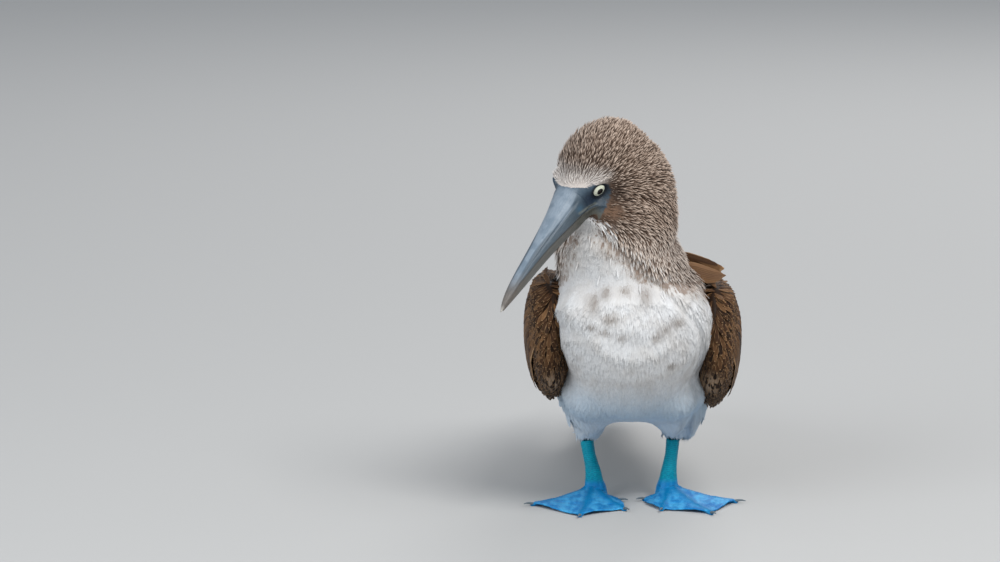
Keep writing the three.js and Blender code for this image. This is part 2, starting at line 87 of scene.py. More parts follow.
world = bpy.data.worlds.new("soft room")
world.use_nodes = True
world.node_tree.nodes["Background"].inputs["Color"].default_value = (0.82, 0.88, 0.96, 1)
world.node_tree.nodes["Background"].inputs["Strength"].default_value = 0.48
bpy.context.scene.world = world

LENS, TILT, AWAY = 200, math.radians(9), 4.056
ASIDE, ABOVE = -94.9 * MM, 158.41 * MM  # of the picture's middle from the bird's ankles
camera_data = bpy.data.cameras.new("long lens")
camera_data.lens, camera_data.sensor_width, camera_data.clip_end = LENS, 36, 50
camera = bpy.data.objects.new("long lens", camera_data)
sight = Vector((0, math.cos(TILT), -math.sin(TILT)))
upward = Vector((0, math.sin(TILT), math.cos(TILT)))
camera.location = BIRD + Vector((ASIDE, 0, 0)) + upward * ABOVE - sight * AWAY
camera.rotation_euler = (math.radians(90) - TILT, 0, 0)
bpy.context.scene.collection.objects.link(camera)
bpy.context.scene.camera = camera
bpy.context.scene.view_settings.view_transform = "Standard"


# The skin under the plumage is one closed surface over the trunk, neck, head and thighs. It is smoothed from
# the solids of those parts and lies inside them by the depth of the plumage, so that no seam shows.
# The head's own frame, in millimetres: from the bill's base, X out along the bill, Y to its left and Z up
HEAD = (
    Matrix.Translation(BIRD + Vector((-44.5, -106, 231.5)) * MM)
    @ Matrix.Rotation(math.radians(-129), 4, "Z")
    @ Matrix.Rotation(math.radians(38), 4, "Y")
    @ Matrix.Rotation(math.radians(-5), 4, "X")
)
HEAD_ARRAY = np.array(HEAD)
HEAD_INVERSE = np.array(HEAD.inverted())


def ramp(value, low, high):
    """From nothing at the low value smoothly to one at the high value."""
    t = np.clip((value - low) / (high - low), 0, 1)
    return t * t * (3 - 2 * t)


def hill(*offsets):
    """One where every offset is nothing, and falling off round it."""
    return np.exp(-sum(offset**2 for offset in offsets))


def in_bird(points):
    return (points - np.array(BIRD)) / MM


def from_bird(points):
    return points * MM + np.array(BIRD)


def in_head(points):
    return (points @ HEAD_INVERSE[:3, :3].T + HEAD_INVERSE[:3, 3]) / MM


def from_head(points):
    return np.asarray(points) * MM @ HEAD_ARRAY[:3, :3].T + HEAD_ARRAY[:3, 3]


def read(items, what="co"):
    """A vector of each point or face of a mesh."""
    array = np.empty(len(items) * 3, np.float32)
    items.foreach_get(what, array)
    return array.reshape(-1, 3).astype(float)


def moved(mesh, points):
    mesh.vertices.foreach_set("co", points.astype(np.float32).ravel())
    mesh.update()


def curve_through(rows, count):
    """A smooth curve through rows of numbers, with as many rows as are asked for."""
    rows = np.asarray(rows, float)
    step = np.linspace(0, len(rows) - 1, count)
    i = np.clip(step.astype(int), 0, len(rows) - 2)
    t = (step - i)[:, None]
    padded = np.concatenate([2 * rows[:1] - rows[1:2], rows, 2 * rows[-1:] - rows[-2:-1]])
    a, b, c, d = padded[i], padded[i + 1], padded[i + 2], padded[i + 3]
    return 0.5 * (2 * b + (c - a) * t + (2 * a - 5 * b + 4 * c - d) * t**2 + (3 * b - a - 3 * c + d) * t**3)


def opened(mesh):
    work = bmesh.new()
    work.from_mesh(mesh)
    work.verts.ensure_lookup_table()
    return work


def closed(work, mesh):
    work.to_mesh(mesh)
    work.free()
    return mesh


def solid(name, points, faces, most_sides=4):
    """A closed mesh with its faces outward, those of more than so many sides cut into triangles."""
    mesh = bpy.data.meshes.new(name)
    mesh.from_pydata([tuple(p) for p in points], [], [tuple(int(i) for i in f) for f in faces])
    work = opened(mesh)
    bmesh.ops.triangulate(work, faces=[f for f in work.faces if len(f.verts) > most_sides])
    bmesh.ops.recalc_face_normals(work, faces=work.faces)
    return closed(work, mesh)


def closed_tube(rings, name):
    """A closed mesh through rings of points."""
    count, sides = rings.shape[:2]
    faces = [
        (i * sides + j, i * sides + (j + 1) % sides, (i + 1) * sides + (j + 1) % sides, (i + 1) * sides + j)
        for i in range(count - 1) for j in range(sides)
    ]
    faces += [tuple(range(sides))[::-1], tuple((count - 1) * sides + j for j in range(sides))]
    return solid(name, rings.reshape(-1, 3), faces)


def fused(nodes, swell, pitch, rounds, extra=()):
    """One smooth closed surface over swollen copies of some of the frame's solids."""
    whole = bmesh.new()
    for node in nodes:
        part = opened(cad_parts[node].data)
        bmesh.ops.remove_doubles(part, verts=part.verts, dist=1e-6)
        part.normal_update()
        for v in part.verts:
            v.co += v.normal * swell
        mesh = closed(part, bpy.data.meshes.new(node))
        whole.from_mesh(mesh)
        bpy.data.meshes.remove(mesh)
    for mesh in extra:
        whole.from_mesh(mesh)
    mesh = closed(whole, bpy.data.meshes.new("fused"))
    ob = shown("fused", mesh, smooth=False)
    remesh = ob.modifiers.new("one surface", "REMESH")
    remesh.mode, remesh.voxel_size = "VOXEL", pitch
    soften = ob.modifiers.new("soften", "SMOOTH")
    soften.factor, soften.iterations = 0.5, rounds
    baked = bpy.data.meshes.new_from_object(ob.evaluated_get(bpy.context.evaluated_depsgraph_get()))
    bpy.data.objects.remove(ob)
    bpy.data.meshes.remove(mesh)
    return baked


def bare_reach(local):
    """How far inside the bare face a point of the head's frame lies, in millimetres."""
    turn = np.degrees(np.arctan2(np.abs(local[:, 1]), local[:, 2] - 1))  # round the bill, from its ridge
    edge = np.interp(
        turn, [0, 16, 30, 46, 59, 70, 80, 91, 99.5, 105.5, 109, 116.5, 122, 128, 144, 180],
        [-2.2, -2.4, -4.4, -7.3, -12, -19.6, -21.6, -20.6, -18, -14.8, -10.5, -6, -2.9, 0.5, 4.5, 7],
    )
    off_axis = np.hypot(local[:, 1], local[:, 2])
    return local[:, 0] - edge - 4 * np.clip(off_axis - 22, 0, None)


# Rows of the bill: distance from its base, half width, ridge, mouth and keel heights
BILL_ROWS = [
    (-1, 14.2, 16.2, -1.0, -15.2), (8, 12.6, 13.8, -1.2, -14.8), (20, 10.2, 11.4, -0.8, -13.2),
    (36, 8.0, 8.7, 0.4, -11.3), (54, 6.1, 6.4, 1.2, -9.6), (72, 4.7, 4.3, 1.2, -8.1),
    (86, 3.4, 2.4, 0.2, -6.7), (96, 2.1, -0.1, -1.8, -5.6), (103, 0.6, -3.6, -4.2, -5.0),
]


def bill_stub(first, last, swell):
    """The bill's base as a closed tube, over which the skin of the face runs on."""
    turn, rings, columns = np.linspace(0, 2 * math.pi, 48, endpoint=False), [], np.array(BILL_ROWS).T
    for x in np.linspace(first, last, 12):
        width, ridge, mouth, keel = (np.interp(x, columns[0], column) for column in columns[1:])
        high = np.where(np.sin(turn) > 0, ridge - mouth, mouth - keel) + swell
        rings.append(np.stack([x + 0 * turn, (width + swell) * np.cos(turn), mouth + high * np.sin(turn)], 1))
    return closed_tube(from_head(np.array(rings)), "stub")


def egg(centre, radii):
    """A smooth closed bulge, given in the bird's millimetres."""
    work = bmesh.new()
    bmesh.ops.create_icosphere(work, subdivisions=4, radius=1.0)
    mesh = closed(work, bpy.data.meshes.new("egg"))
    size = Matrix.Diagonal((*(r * MM for r in radii), 1))
    mesh.transform(Matrix.Translation(BIRD + Vector(centre) * MM) @ size)
    return mesh


# Bulges, by their middles and radii, let the plumage run on between belly, thighs and breast without a fold.
BULGES = (
    ((28, -26, 86), (27, 42, 28)), ((-28, -26, 86), (27, 42, 28)), ((0, -18, 74), (40, 34, 17)),
    ((-3, -76, 184), (47, 38, 23)), ((29, -14, 64), (18, 25, 17)), ((-29, -14, 64), (18, 25, 17)),
)
skin_mesh = fused(
    ["torso", "neck", "head", "thigh_left", "thigh_right", "eye_left", "eye_right"],
    swell=0.4 * MM, pitch=1.8 * MM, rounds=12, extra=[bill_stub(-5, 9, 0.3), *(egg(*b) for b in BULGES)],
)

# Two belts are smoothed further, widening round by round so that they leave no ledge: from and to which
# height they reach at first and at last, how far back, and how many rounds.
BELTS = ((56, 94, 50, 128, 30, 60), (168, 190, 136, 214, -58, 36))
work = opened(skin_mesh)
places = in_bird(np.array([v.co for v in work.verts]))
for low, high, last_low, last_high, back, rounds in BELTS:
    for step in np.linspace(0, 1, rounds):
        above = places[:, 2] > low + (last_low - low) * step
        below = places[:, 2] < high + (last_high - high) * step
        verts = [work.verts[i] for i in np.flatnonzero(above & below & (places[:, 1] < back))]
        axes = {"use_axis_x": True, "use_axis_y": True, "use_axis_z": True}
        bmesh.ops.smooth_vert(work, verts=verts, factor=0.5, **axes)
closed(work, skin_mesh)

# The bare face is split finer than the rest, and finest round the eyes, for its lids and folds.
EYE_SEAT, EYE_WAY = np.array([-15.0, 14.4, 5.5]), np.array([0.42, 0.86, -0.18])
EYE_WAY = EYE_WAY / np.linalg.norm(EYE_WAY)
EYE_TOP, EYE_EDGE, EYE_CURVE = 5.3, 5.3, 7.5  # height, half width and radius of the eye's front


def eye_place(local, way):
    """Distance out along an eye's axis and from that axis, and the axis, for points of the head's frame."""
    flip = np.array([1, way, 1])
    offset = local - EYE_SEAT * flip
    out = offset @ (EYE_WAY * flip)
    return out, np.linalg.norm(offset - out[:, None] * (EYE_WAY * flip), axis=1), EYE_WAY * flip


def from_eyes(local):
    return np.minimum(eye_place(local, 1)[1], eye_place(local, -1)[1])


def split_finer(mesh, wanted):
    """Cut every edge in two that lies between wanted points."""
    work = opened(mesh)
    keep = wanted(in_head(np.array([v.co for v in work.verts])))
    edges = [e for e in work.edges if keep[e.verts[0].index] and keep[e.verts[1].index]]
    bmesh.ops.subdivide_edges(work, edges=edges, cuts=1, use_grid_fill=True, smooth=1.0)
    bmesh.ops.triangulate(work, faces=[f for f in work.faces if len(f.verts) > 4])
    closed(work, mesh)


split_finer(skin_mesh, lambda p: (p[:, 0] > -30) & (bare_reach(p) > -4))
split_finer(skin_mesh, lambda p: (p[:, 0] > -30) & (bare_reach(p) > -2))
split_finer(skin_mesh, lambda p: from_eyes(p) < 8.5)

# The skin lies deeper under thick plumage, by millimetres, and has folds at the gape, lip, lore and brow.
points, outward = read(skin_mesh.vertices), read(skin_mesh.vertices, "normal")
local = in_head(points)
(fore, aside, height), (X, Y, Z) = local.T, in_bird(points).T
reach = bare_reach(local)
on_face = ramp(reach, -1.5, 0.5) * (fore > -40)
near_face = ramp(-reach, 0, 24) * (fore > -60) + (fore <= -60)
depth = (0.9 + 0.6 * near_face) * (1 - on_face) + 0.2 * on_face
depth += 1.7 * near_face * ramp(Z, 196, 226)
depth += 3.2 * ramp(fore, 1.5, 8)
under_eye = ramp(fore, -12, -6)
gape = hill((height + 0.8 - 0.2 * fore) / 0.6) * under_eye
lip = hill((height + 3.2 - 0.2 * fore) / 1.3) * under_eye
lore = hill((fore + 4.0) / 4.5, (height - 6.0) / 4.5)
brow = hill((height - 14.5) / 2.0) * ramp(fore, -20, -10) * (np.abs(aside) > 5)
depth += on_face * (0.9 * gape - 0.4 * lip + 0.9 * lore - 0.4 * brow)
points -= outward * (depth * MM)[:, None]
points[:, 0] -= 6 * MM * ramp(X, 22, 40) * ramp(Z, 170, 186) * ramp(Z, 216, 202)
points[:, 0] -= 4 * MM * ramp(-X, 26, 44) * ramp(Z, 140, 160) * ramp(Z, 214, 198)
local = in_head(points)


def lens_height(across):
    """How far out along its axis the front of an eye stands, at a distance from that axis."""
    return EYE_TOP - EYE_CURVE + np.sqrt(np.clip(EYE_CURVE**2 - across**2, 0, None))


for way in (1, -1):
    out, across, axis = eye_place(local, way)
    ledge = 4.1 - 1.0 * ((across - 6.0) / 1.0) ** 2 * (across < 6.0)
    lid = ledge + (out - ledge) * ramp(across, 6.3, 10.0)
    lid = np.where(across < EYE_EDGE, lens_height(across) - 0.7, lid)
    near = (across < 10) & (out > 0)
    local[near] += (lid - out)[near, None] * axis
points = from_head(local)
moved(skin_mesh, points)


def store(mesh, name, values, domain="POINT"):
    """Keep one number or one vector for each point or face of a mesh."""
    values = np.asarray(values)
    kind, field = ("FLOAT_VECTOR", "vector") if values.ndim == 2 else ("FLOAT", "value")
    mesh.attributes.new(name, kind, domain).data.foreach_set(field, values.astype(np.float32).ravel())


def unit(v):
    return v / np.maximum(np.linalg.norm(v, axis=-1, keepdims=True), 1e-9)


def in_surface(direction, normal):
    return unit(direction - normal * (direction * normal).sum(-1, keepdims=True))


# The way that the plumage lies: back from the bill over the head, down the neck and the breast, then
# along the trunk towards the tail and down the thighs.
local, bird, outward = in_head(points), in_bird(points), read(skin_mesh.vertices, "normal")
(fore, aside, height), (X, Y, Z) = local.T, bird.T
from_bill = unit(bird - np.array([-40, -101, 231]))
down = np.stack([X * 0.006, 0.1 + 0 * X, -1 + 0 * X], 1)
aft = np.stack([0 * X, 1 + 0 * X, -0.36 + 0 * X], 1)
share = ramp(Z, 215, 262) * 0.9 + 0.1 * ramp(Z, 195, 215)
share = np.maximum(share, hill((fore + 8) / 22) * ramp(Z, 200, 222))[:, None]
lie = unit(from_bill * share + down * (1 - share))
to_tail = (ramp(Y, -70, 5) * ramp(Z, 205, 180) + ramp(Y, -112, -60) * ramp(Z, 125, 80) * 0.5).clip(0, 1)
to_tail = np.maximum(to_tail, ramp(Y, -66, -30) * ramp(Z, 225, 180))[:, None]
lie = unit(lie * (1 - to_tail) + aft * to_tail)
on_thigh = (ramp(Z, 78, 62) * (np.abs(X) > 8))[:, None]
lie = unit(lie * (1 - on_thigh) + unit(np.array([0, 0.35, -1.0])) * on_thigh)
store(skin_mesh, "lie", in_surface(lie, outward))

# Where the plumage is brown, flecked, pale or rufous, and where painted bluish shade lies low on the belly
# and thighs, each from 0 to 1. The white throat ends to the left and right at angles round the neck that
# change with height.
reach = bare_reach(local)
round_neck = np.degrees(np.arctan2(X + 6, -(Y + 73)))
heights = [150, 160, 171, 179, 197, 208, 215, 225, 235, 240]
to_left = np.interp(Z, heights, [150, 120, 80, 52, 18, -4, -20, -32, -42, -56])
to_right = np.interp(Z, heights, [-160, -150, -128, -106, -88, -80, -72, -62, -54, -50])
half = (to_left - to_right) / 2 - 70 * ramp(Z, 218, 236)
throat = np.abs(round_neck - (to_left + to_right) / 2)
throat = np.minimum(throat, 360 - throat)
brown = ramp(throat, half - 26, half + 22)
brown *= np.maximum(ramp(Z, 156, 182), ramp(Y, -66, -40) * ramp(Z, 128, 150))
shoulder = ramp(np.abs(X - 4), 36, 46) * ramp(Z, 158, 172) * ramp(Z, 222, 205)
shoulder *= ramp(Y - 46 * (X < 0), -102, -88)
brown = np.maximum(brown, shoulder)
back = ramp(Y, -50, -25) * ramp(Z + 0.36 * Y, 112, 130)
brown = np.maximum(brown, back)
mantle_patch = hill(X / 18, (Y + 32) / 13) * ramp(Z, 150, 165) * ramp(Z, 194, 178)
rump_patch = hill(X / 17, (Y - 78) / 26) * ramp(Z, 100, 118)
brown *= 1 - np.clip(1.3 * np.maximum(mantle_patch, rump_patch), 0, 1)
rufous = hill((fore + 9) / 5, (height + 10) / 5) * (np.abs(aside) > 8)
SMUDGES = (  # across and up, half width and half height
    (-19.5, 170.5, 3.4, 3.4), (-27, 165.5, 4.5, 4), (-16, 157, 4.6, 3), (-29, 151, 4.6, 2.2),
    (-9, 144, 2.6, 2.4), (7, 170, 4.6, 4.8), (12, 181, 7, 4), (15, 144, 3.4, 3), (21, 149, 4, 3),
    (28, 154, 4.4, 3.4), (-6, 172.5, 3.6, 3), (-18, 203, 6, 4), (27, 121, 3, 3), (2, 187, 6, 4),
    (-20, 147, 5, 2),
)
smudge = sum(hill((X - x) / w, (Z - z) / h) for x, z, w, h in SMUDGES) * ramp(Y, -60, -80)
by_face = ramp(-reach, 0, 20) * (fore > -45) + (fore <= -45)
for name, values in {
    "brown": brown,
    "fleck": ramp(throat, half - 62, half - 6) * ramp(Z, 146, 174) * ramp(Z, 226, 200) * ramp(Y, -40, -60),
    "forehead": ramp(reach, -18, -1) * ramp(height, 4, 11) * ramp(np.abs(aside), 27, 17),
    "rufous": np.maximum(rufous, shoulder),
    # painted shade, tinted blue by light that the blue feet reflect, low on the belly and thighs
    "cool": ramp(Z, 110, 66) * (1 - 0.4 * ramp(Z, 76, 58)),
    "smudge": np.clip(smudge, 0, 1),
    "bare": ramp(reach, -0.4, 0.4) * (fore > -30),
    "size": np.where(Z > 200, 0.42 + 0.58 * by_face, 1.0),
    "cover": (1 - ramp(reach, -1.2, -0.2) * (fore > -30)) * (Z > 44),
    "head_place": local,
    "off_eye": from_eyes(local) + 20 * (fore < -30),
}.items():
    store(skin_mesh, name, values)

# Zones of the plumage, with ragged borders: 0 head, 1 neck, 2 thighs, 3 back, 4 breast, 5 belly, 6 throat
cx, cy, cz = in_bird(read(skin_mesh.polygons, "center")).T
draw = np.random.default_rng(8)
cz += draw.normal(0, 9, len(cz))
cy += draw.normal(0, 4, len(cy))
zone = np.select(
    [cz > 226, cz > 176, (cz < 76) & (np.abs(cx) > 4) & (cy < 40), cy > 4, (cz > 118) & (cy < -50)],
    [0, 1, 2, 3, 4], 5,
)
zone = np.where((cz > 176) & (cy > -30), 3, zone)
loops = np.empty(len(skin_mesh.polygons), np.int32)
skin_mesh.polygons.foreach_get("loop_start", loops)
corner = np.empty(len(skin_mesh.loops), np.int32)
skin_mesh.loops.foreach_get("vertex_index", corner)
zone = np.where((zone == 1) & (brown[corner[loops]] + draw.normal(0, 0.2, len(cz)) < 0.5), 6, zone)
skin_mesh.attributes.new("zone", "INT", "FACE").data.foreach_set("value", zone.astype(np.int32))


def unwrapped(ob, name):
    """An unwrap of a surface's own shape, in a map of that name."""
    bpy.context.view_layer.objects.active = ob
    ob.select_set(True)
    bpy.ops.object.mode_set(mode="EDIT")
    bpy.ops.mesh.select_all(action="SELECT")
    bpy.ops.uv.smart_project(angle_limit=math.radians(72), island_margin=0.002)
    bpy.ops.object.mode_set(mode="OBJECT")
    ob.select_set(False)
    ob.data.uv_layers[0].name = name


# The trees for colours and for the coat are built with a few words of their own. A wire is a socket's value,
# and is reckoned with like a number.
class Wire:
    def __init__(self, tree, socket):
        self.tree, self.socket = tree, socket

    def reckoned(self, how, *values):
        return placed(self.tree, "ShaderNodeMath", enumerate(values), operation=how)[0]

    def __add__(self, other):
        return self.reckoned("ADD", self, other)

    def __sub__(self, other):
        return self.reckoned("SUBTRACT", self, other)

    def __rsub__(self, other):
        return self.reckoned("SUBTRACT", other, self)

    def __mul__(self, other):
        return self.reckoned("MULTIPLY", self, other)

    def __abs__(self):
        return self.reckoned("ABSOLUTE", self)


def fed(tree, node, inputs):
    """Give a node's inputs, by number or by name, their values or the wires that lead to them."""
    for key, value in dict(inputs).items():
        fitting = (s for s in node.inputs if s.enabled and s.name == key)
        socket = node.inputs[key] if isinstance(key, int) else next(fitting)
        if isinstance(value, Wire):
            tree.links.new(value.socket, socket)
        else:
            socket.default_value = value


def placed(tree, kind, inputs=(), **settings):
    """The outputs of a new node, as wires."""
    node = tree.nodes.new(kind)
    for name, value in settings.items():
        setattr(node, name, value)
    fed(tree, node, inputs)
    return [Wire(tree, socket) for socket in node.outputs]


def grouped(name, inputs, outputs, kind="ShaderNodeTree"):
    """An empty group with named sockets, the wires that come in, and the node by which they go out."""
    tree = bpy.data.node_groups.new(name, kind)
    for in_out, sockets in (("INPUT", inputs), ("OUTPUT", outputs)):
        for label, sort in sockets.items():
            tree.interface.new_socket(label, in_out=in_out, socket_type="NodeSocket" + sort)
    wires = {wire.socket.name: wire for wire in placed(tree, "NodeGroupInput")}
    return tree, wires, tree.nodes.new("NodeGroupOutput")


def light_of(colour):
    """A colour of the screen, from 0 to 255, as light. A wire stays as it is."""
    if isinstance(colour, Wire):
        return colour
    return (*(c / 255 / 12.92 if c < 10 else ((c / 255 + 0.055) / 1.055) ** 2.4 for c in colour), 1)


def blended(share, a, b):
    """A share of the way from one colour to another."""
    colours = {0: share, 6: light_of(a), 7: light_of(b)}
    return placed(share.tree, "ShaderNodeMix", colours, data_type="RGBA")[2]


def stepped(value, low, high, start=0.0, end=1.0):
    """A value that goes smoothly from start to end as another goes from low to high."""
    limits = {0: value, 1: low, 2: high, 3: start, 4: end}
    return placed(value.tree, "ShaderNodeMapRange", limits, interpolation_type="SMOOTHSTEP")[0]


def bell(value, middle, spread):
    """One at the middle, fading to nothing at twice the spread on either side."""
    return stepped(abs(value - middle), 2 * spread, 0.0)


def most(a, b):
    return a.reckoned("MAXIMUM", a, b)


def mottle(place, scale, detail=2.0, rough=0.5):
    sizes = {"Vector": place, "Scale": scale, "Detail": detail, "Roughness": rough}
    return placed(place.tree, "ShaderNodeTexNoise", sizes)[0]


def bumped(height, strength, distance):
    sizes = {"Height": height, "Strength": strength, "Distance": distance}
    return placed(height.tree, "ShaderNodeBump", sizes)[0]


def kept(tree, name, vector=False):
    """A number or a vector that the mesh keeps for each of its points."""
    return placed(tree, "ShaderNodeAttribute", attribute_name=name)[1 if vector else 2]


def split(vector):
    return placed(vector.tree, "ShaderNodeSeparateXYZ", {0: vector})


def object_place(tree):
    return placed(tree, "ShaderNodeTexCoord")[3]


# The markings that the skin and the plumage share: white below, brown with cream tips on the head, neck and
# back, a whitish forehead, smudges on the breast, and a painted bluish shade low on the belly and thighs.
MASKS = ("brown", "fleck", "forehead", "rufous", "cool", "smudge")
markings, mark_in, mark_out = grouped(
    "booby_markings",
    {"Place": "Vector", "Along": "Float", "Chance": "Float", **{mask: "Float" for mask in MASKS}},
    {"Colour": "Color"},
)
place, along, chance = mark_in["Place"], mark_in["Along"], mark_in["Chance"]
is_brown, fleck, forehead, rufous, cool, smudge = (mark_in[mask] for mask in MASKS)
broad, fine = mottle(place, 90, 3), mottle(place, 420)
white = blended(stepped(along, 0.1, 0.9), (204, 204, 205), (226, 227, 228))
white = blended(stepped(broad, 0.35, 0.7, 0.0, 0.5), white, (196, 191, 186))
# painted bluish shade low on the belly and thighs
white = blended(cool * 0.85, white, (158, 186, 208))
white = blended(smudge * stepped(fine, 0.2, 0.6, 0.6, 1.0) * 0.85, white, (128, 117, 108))
white = blended(fleck * 0.6, white, (208, 200, 192))
dark = blended(broad, (50, 37, 29), (90, 70, 56))
dark = blended(rufous * 0.65, dark, (120, 92, 72))
dark = blended(fleck * 0.5, dark, (112, 92, 78))
cream = blended(chance, (140, 119, 104), (196, 176, 160))
cream = blended(fleck * 0.5, cream, (204, 196, 188))
tip = stepped(along + (chance + fleck) * 0.12, 0.58, 0.95) * (1.0 - rufous * 0.7)
feathered = blended(tip, dark, cream)
pale = blended(along, (168, 159, 153), (232, 227, 222))
feathered = blended(forehead * 0.95, feathered, pale)
spread = chance * 0.55 + fine * 0.5
flecked = stepped(fleck + spread, 0.98, 1.3) * stepped(along, 0.8, 0.45)
white = blended(flecked * 0.8, white, (126, 104, 88))
unsure = is_brown * (1.0 - is_brown) * 6.0 + 0.35
amount = stepped(is_brown + (spread - 0.52) * unsure, 0.35, 0.65)
fed(markings, mark_out, {"Colour": blended(amount, white, feathered)})


def marked(tree, place, along, chance):
    """The plumage's colour at a root's place, this far along a feather."""
    own = {"Place": place, "Along": along, "Chance": chance, **{mask: kept(tree, mask) for mask in MASKS}}
    return placed(tree, "ShaderNodeGroup", own, node_tree=markings)[0]


# The bare face and the bill share one set of colours, laid out by their place in the head's own frame: slate
# at the feathers' edge, a painted highlight along the bill's ridge, painted shade in its groove, a streaked
# side, a brownish lower bill and tip, a navy lore with a painted teal highlight at the bill's base, and a
# pale gape.
face_colours, face_in, face_out = grouped(
    "face_and_bill", {"Place": "Vector"}, {"Colour": "Color", "Streaks": "Float"}
)
place = face_in["Place"]
along, sideways, height = split(place)
drawn_out = placed(face_colours, "ShaderNodeMapping", {"Vector": place, "Scale": (0.035, 1, 1)})[0]
streaks, clouds, speck = mottle(drawn_out, 1.5, 5, 0.62), mottle(place, 0.13, 3), mottle(place, 0.9, 4, 0.6)

# painted highlight: the bill's upper ridge is lighter than its side
ridge_highlight_horn = blended(streaks, (98, 112, 125), (146, 158, 170))
ridge_highlight_horn = blended(stepped(clouds, 0.4, 0.62, 0.0, 0.45), ridge_highlight_horn, (80, 98, 113))
off_ridge, high_up = abs(sideways) - stepped(along, 4, 58, 9.5, 2.4), stepped(height, 2.0, 3.5)
painted_ridge_highlight = stepped(off_ridge, 0.7, -0.7) * high_up
horn = blended(painted_ridge_highlight, blended(streaks, (50, 62, 72), (100, 112, 122)), ridge_highlight_horn)
# painted shade in the groove down each side of the upper bill
groove = stepped(abs(off_ridge), 0.9, 0.1) * high_up * 0.5
horn = blended(groove, horn, (70, 86, 100))
near_base = stepped(along, 26, 10) * (1.0 - painted_ridge_highlight) * 0.75
horn = blended(near_base, horn, blended(streaks, (42, 56, 66), (70, 82, 90)))
mouth_height = stepped(along, 8, 50, -1.2, 1.2) - stepped(along, 78, 103, 0.0, 5.4)
over_mouth = height - mouth_height
lower_horn = blended(streaks, (66, 64, 58), (108, 106, 100))
horn = blended(stepped(over_mouth, 0.3, -0.3) * 0.9, horn, lower_horn)
horn = blended(bell(over_mouth, 0.0, 0.6) * 0.7, horn, (56, 52, 48))
brown_tip = blended(streaks, (84, 76, 70), (126, 116, 106))
horn = blended(stepped(along, 68, 96, 0.0, 0.8), horn, brown_tip)
horn = blended(stepped(along, 98, 102.5, 0.0, 0.6), horn, (196, 192, 184))

slate = blended(speck, (28, 42, 54), (58, 74, 87))
crown_light = stepped(height, 6, 12) * stepped(along, -14, -1) * 0.7
slate = blended(crown_light, slate, blended(clouds, (60, 78, 92), (84, 101, 115)))
navy = bell(along, -5.5, 5.0) * bell(height, 3.5, 4.6) * stepped(speck, 0.2, 0.5, 0.85, 1.0)
slate = blended(navy, slate, blended(speck, (8, 18, 32), (20, 38, 58)))
over_gape = height - (along * 0.24 + 0.1)
jaw = stepped(over_gape, -1.6, -2.6) * stepped(along, -9, -3)
slate = blended(jaw * 0.85, slate, blended(speck, (62, 62, 55), (92, 90, 80)))

on_bill = most(stepped(along + height * 0.85, 5.0, 17.0), stepped(along, 10, 16))
surface = blended(on_bill, slate, horn)
# painted teal highlight at the bill's base, in front of the navy lore
painted_teal_highlight = bell(along, 6.0, 2.6) * bell(height, 4.2, 2.2)
surface = blended(painted_teal_highlight * 0.8, surface, (56, 84, 104))
pale_gape = bell(over_gape, 0.0, 0.9) * stepped(along, -9, -6) * stepped(along, 10, 7.5)
surface = blended(pale_gape * 0.6, surface, (118, 122, 114))
fed(face_colours, face_out, {"Colour": surface, "Streaks": streaks})


def faced(tree):
    """The face's and the bill's colour, and the streaks of its horn."""
    return placed(tree, "ShaderNodeGroup", {"Place": kept(tree, "head_place", True)}, node_tree=face_colours)


skin_paint, tree, shader = principled("skin_and_bare_face", Roughness=0.6, Specular_IOR_Level=0.3)
where, is_bare = object_place(tree), kept(tree, "bare")
lidded = blended(stepped(kept(tree, "off_eye"), 8.2, 6.0), faced(tree)[0], (16, 26, 36))
grain = placed(tree, "ShaderNodeTexVoronoi", {"Vector": where, "Scale": 900.0})[0]
fed(tree, shader, {
    "Base Color": blended(is_bare, marked(tree, where, 0.25, 0.4), lidded),
    "Roughness": stepped(is_bare, 0.2, 0.8, 0.85, 0.48),
    "Normal": bumped(grain + mottle(where, 500, 4) * 1.2, 0.35, 0.0004),
})
skin = shown("skin", skin_mesh, skin_paint)
unwrapped(skin, "unwrap")
for node in ("torso", "neck", "head", "thigh_left", "thigh_right"):
    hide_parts(node)
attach(skin, "root")


# The plumage is many thousands of small closed feathers, rooted in the skin and lying back over each other.
# One tree of Geometry Nodes sets them evenly over a surface, each turned to the way the plumage lies there.
def closed_sheet(top, bottom):
    """Faces of a closed thin sheet from two grids of points of equal size, and the points in one list."""
    rows, columns = top.shape[:2]
    grid = np.arange(rows * columns).reshape(rows, columns)
    under = grid + rows * columns
    faces = []
    for a, flip in ((grid, False), (under, True)):
        quads = np.stack([a[:-1, :-1], a[1:, :-1], a[1:, 1:], a[:-1, 1:]], -1).reshape(-1, 4)
        faces += [tuple(q[::-1]) if flip else tuple(q) for q in quads]
    edge = [*grid[0, :-1], *grid[:-1, -1], *grid[-1, :0:-1], *grid[:0:-1, 0]]
    count = rows * columns
    for a, b in zip(edge, edge[1:] + edge[:1]):
        faces.append((a, b, b + count, a + count))
    return np.concatenate([top.reshape(-1, 3), bottom.reshape(-1, 3)]), faces


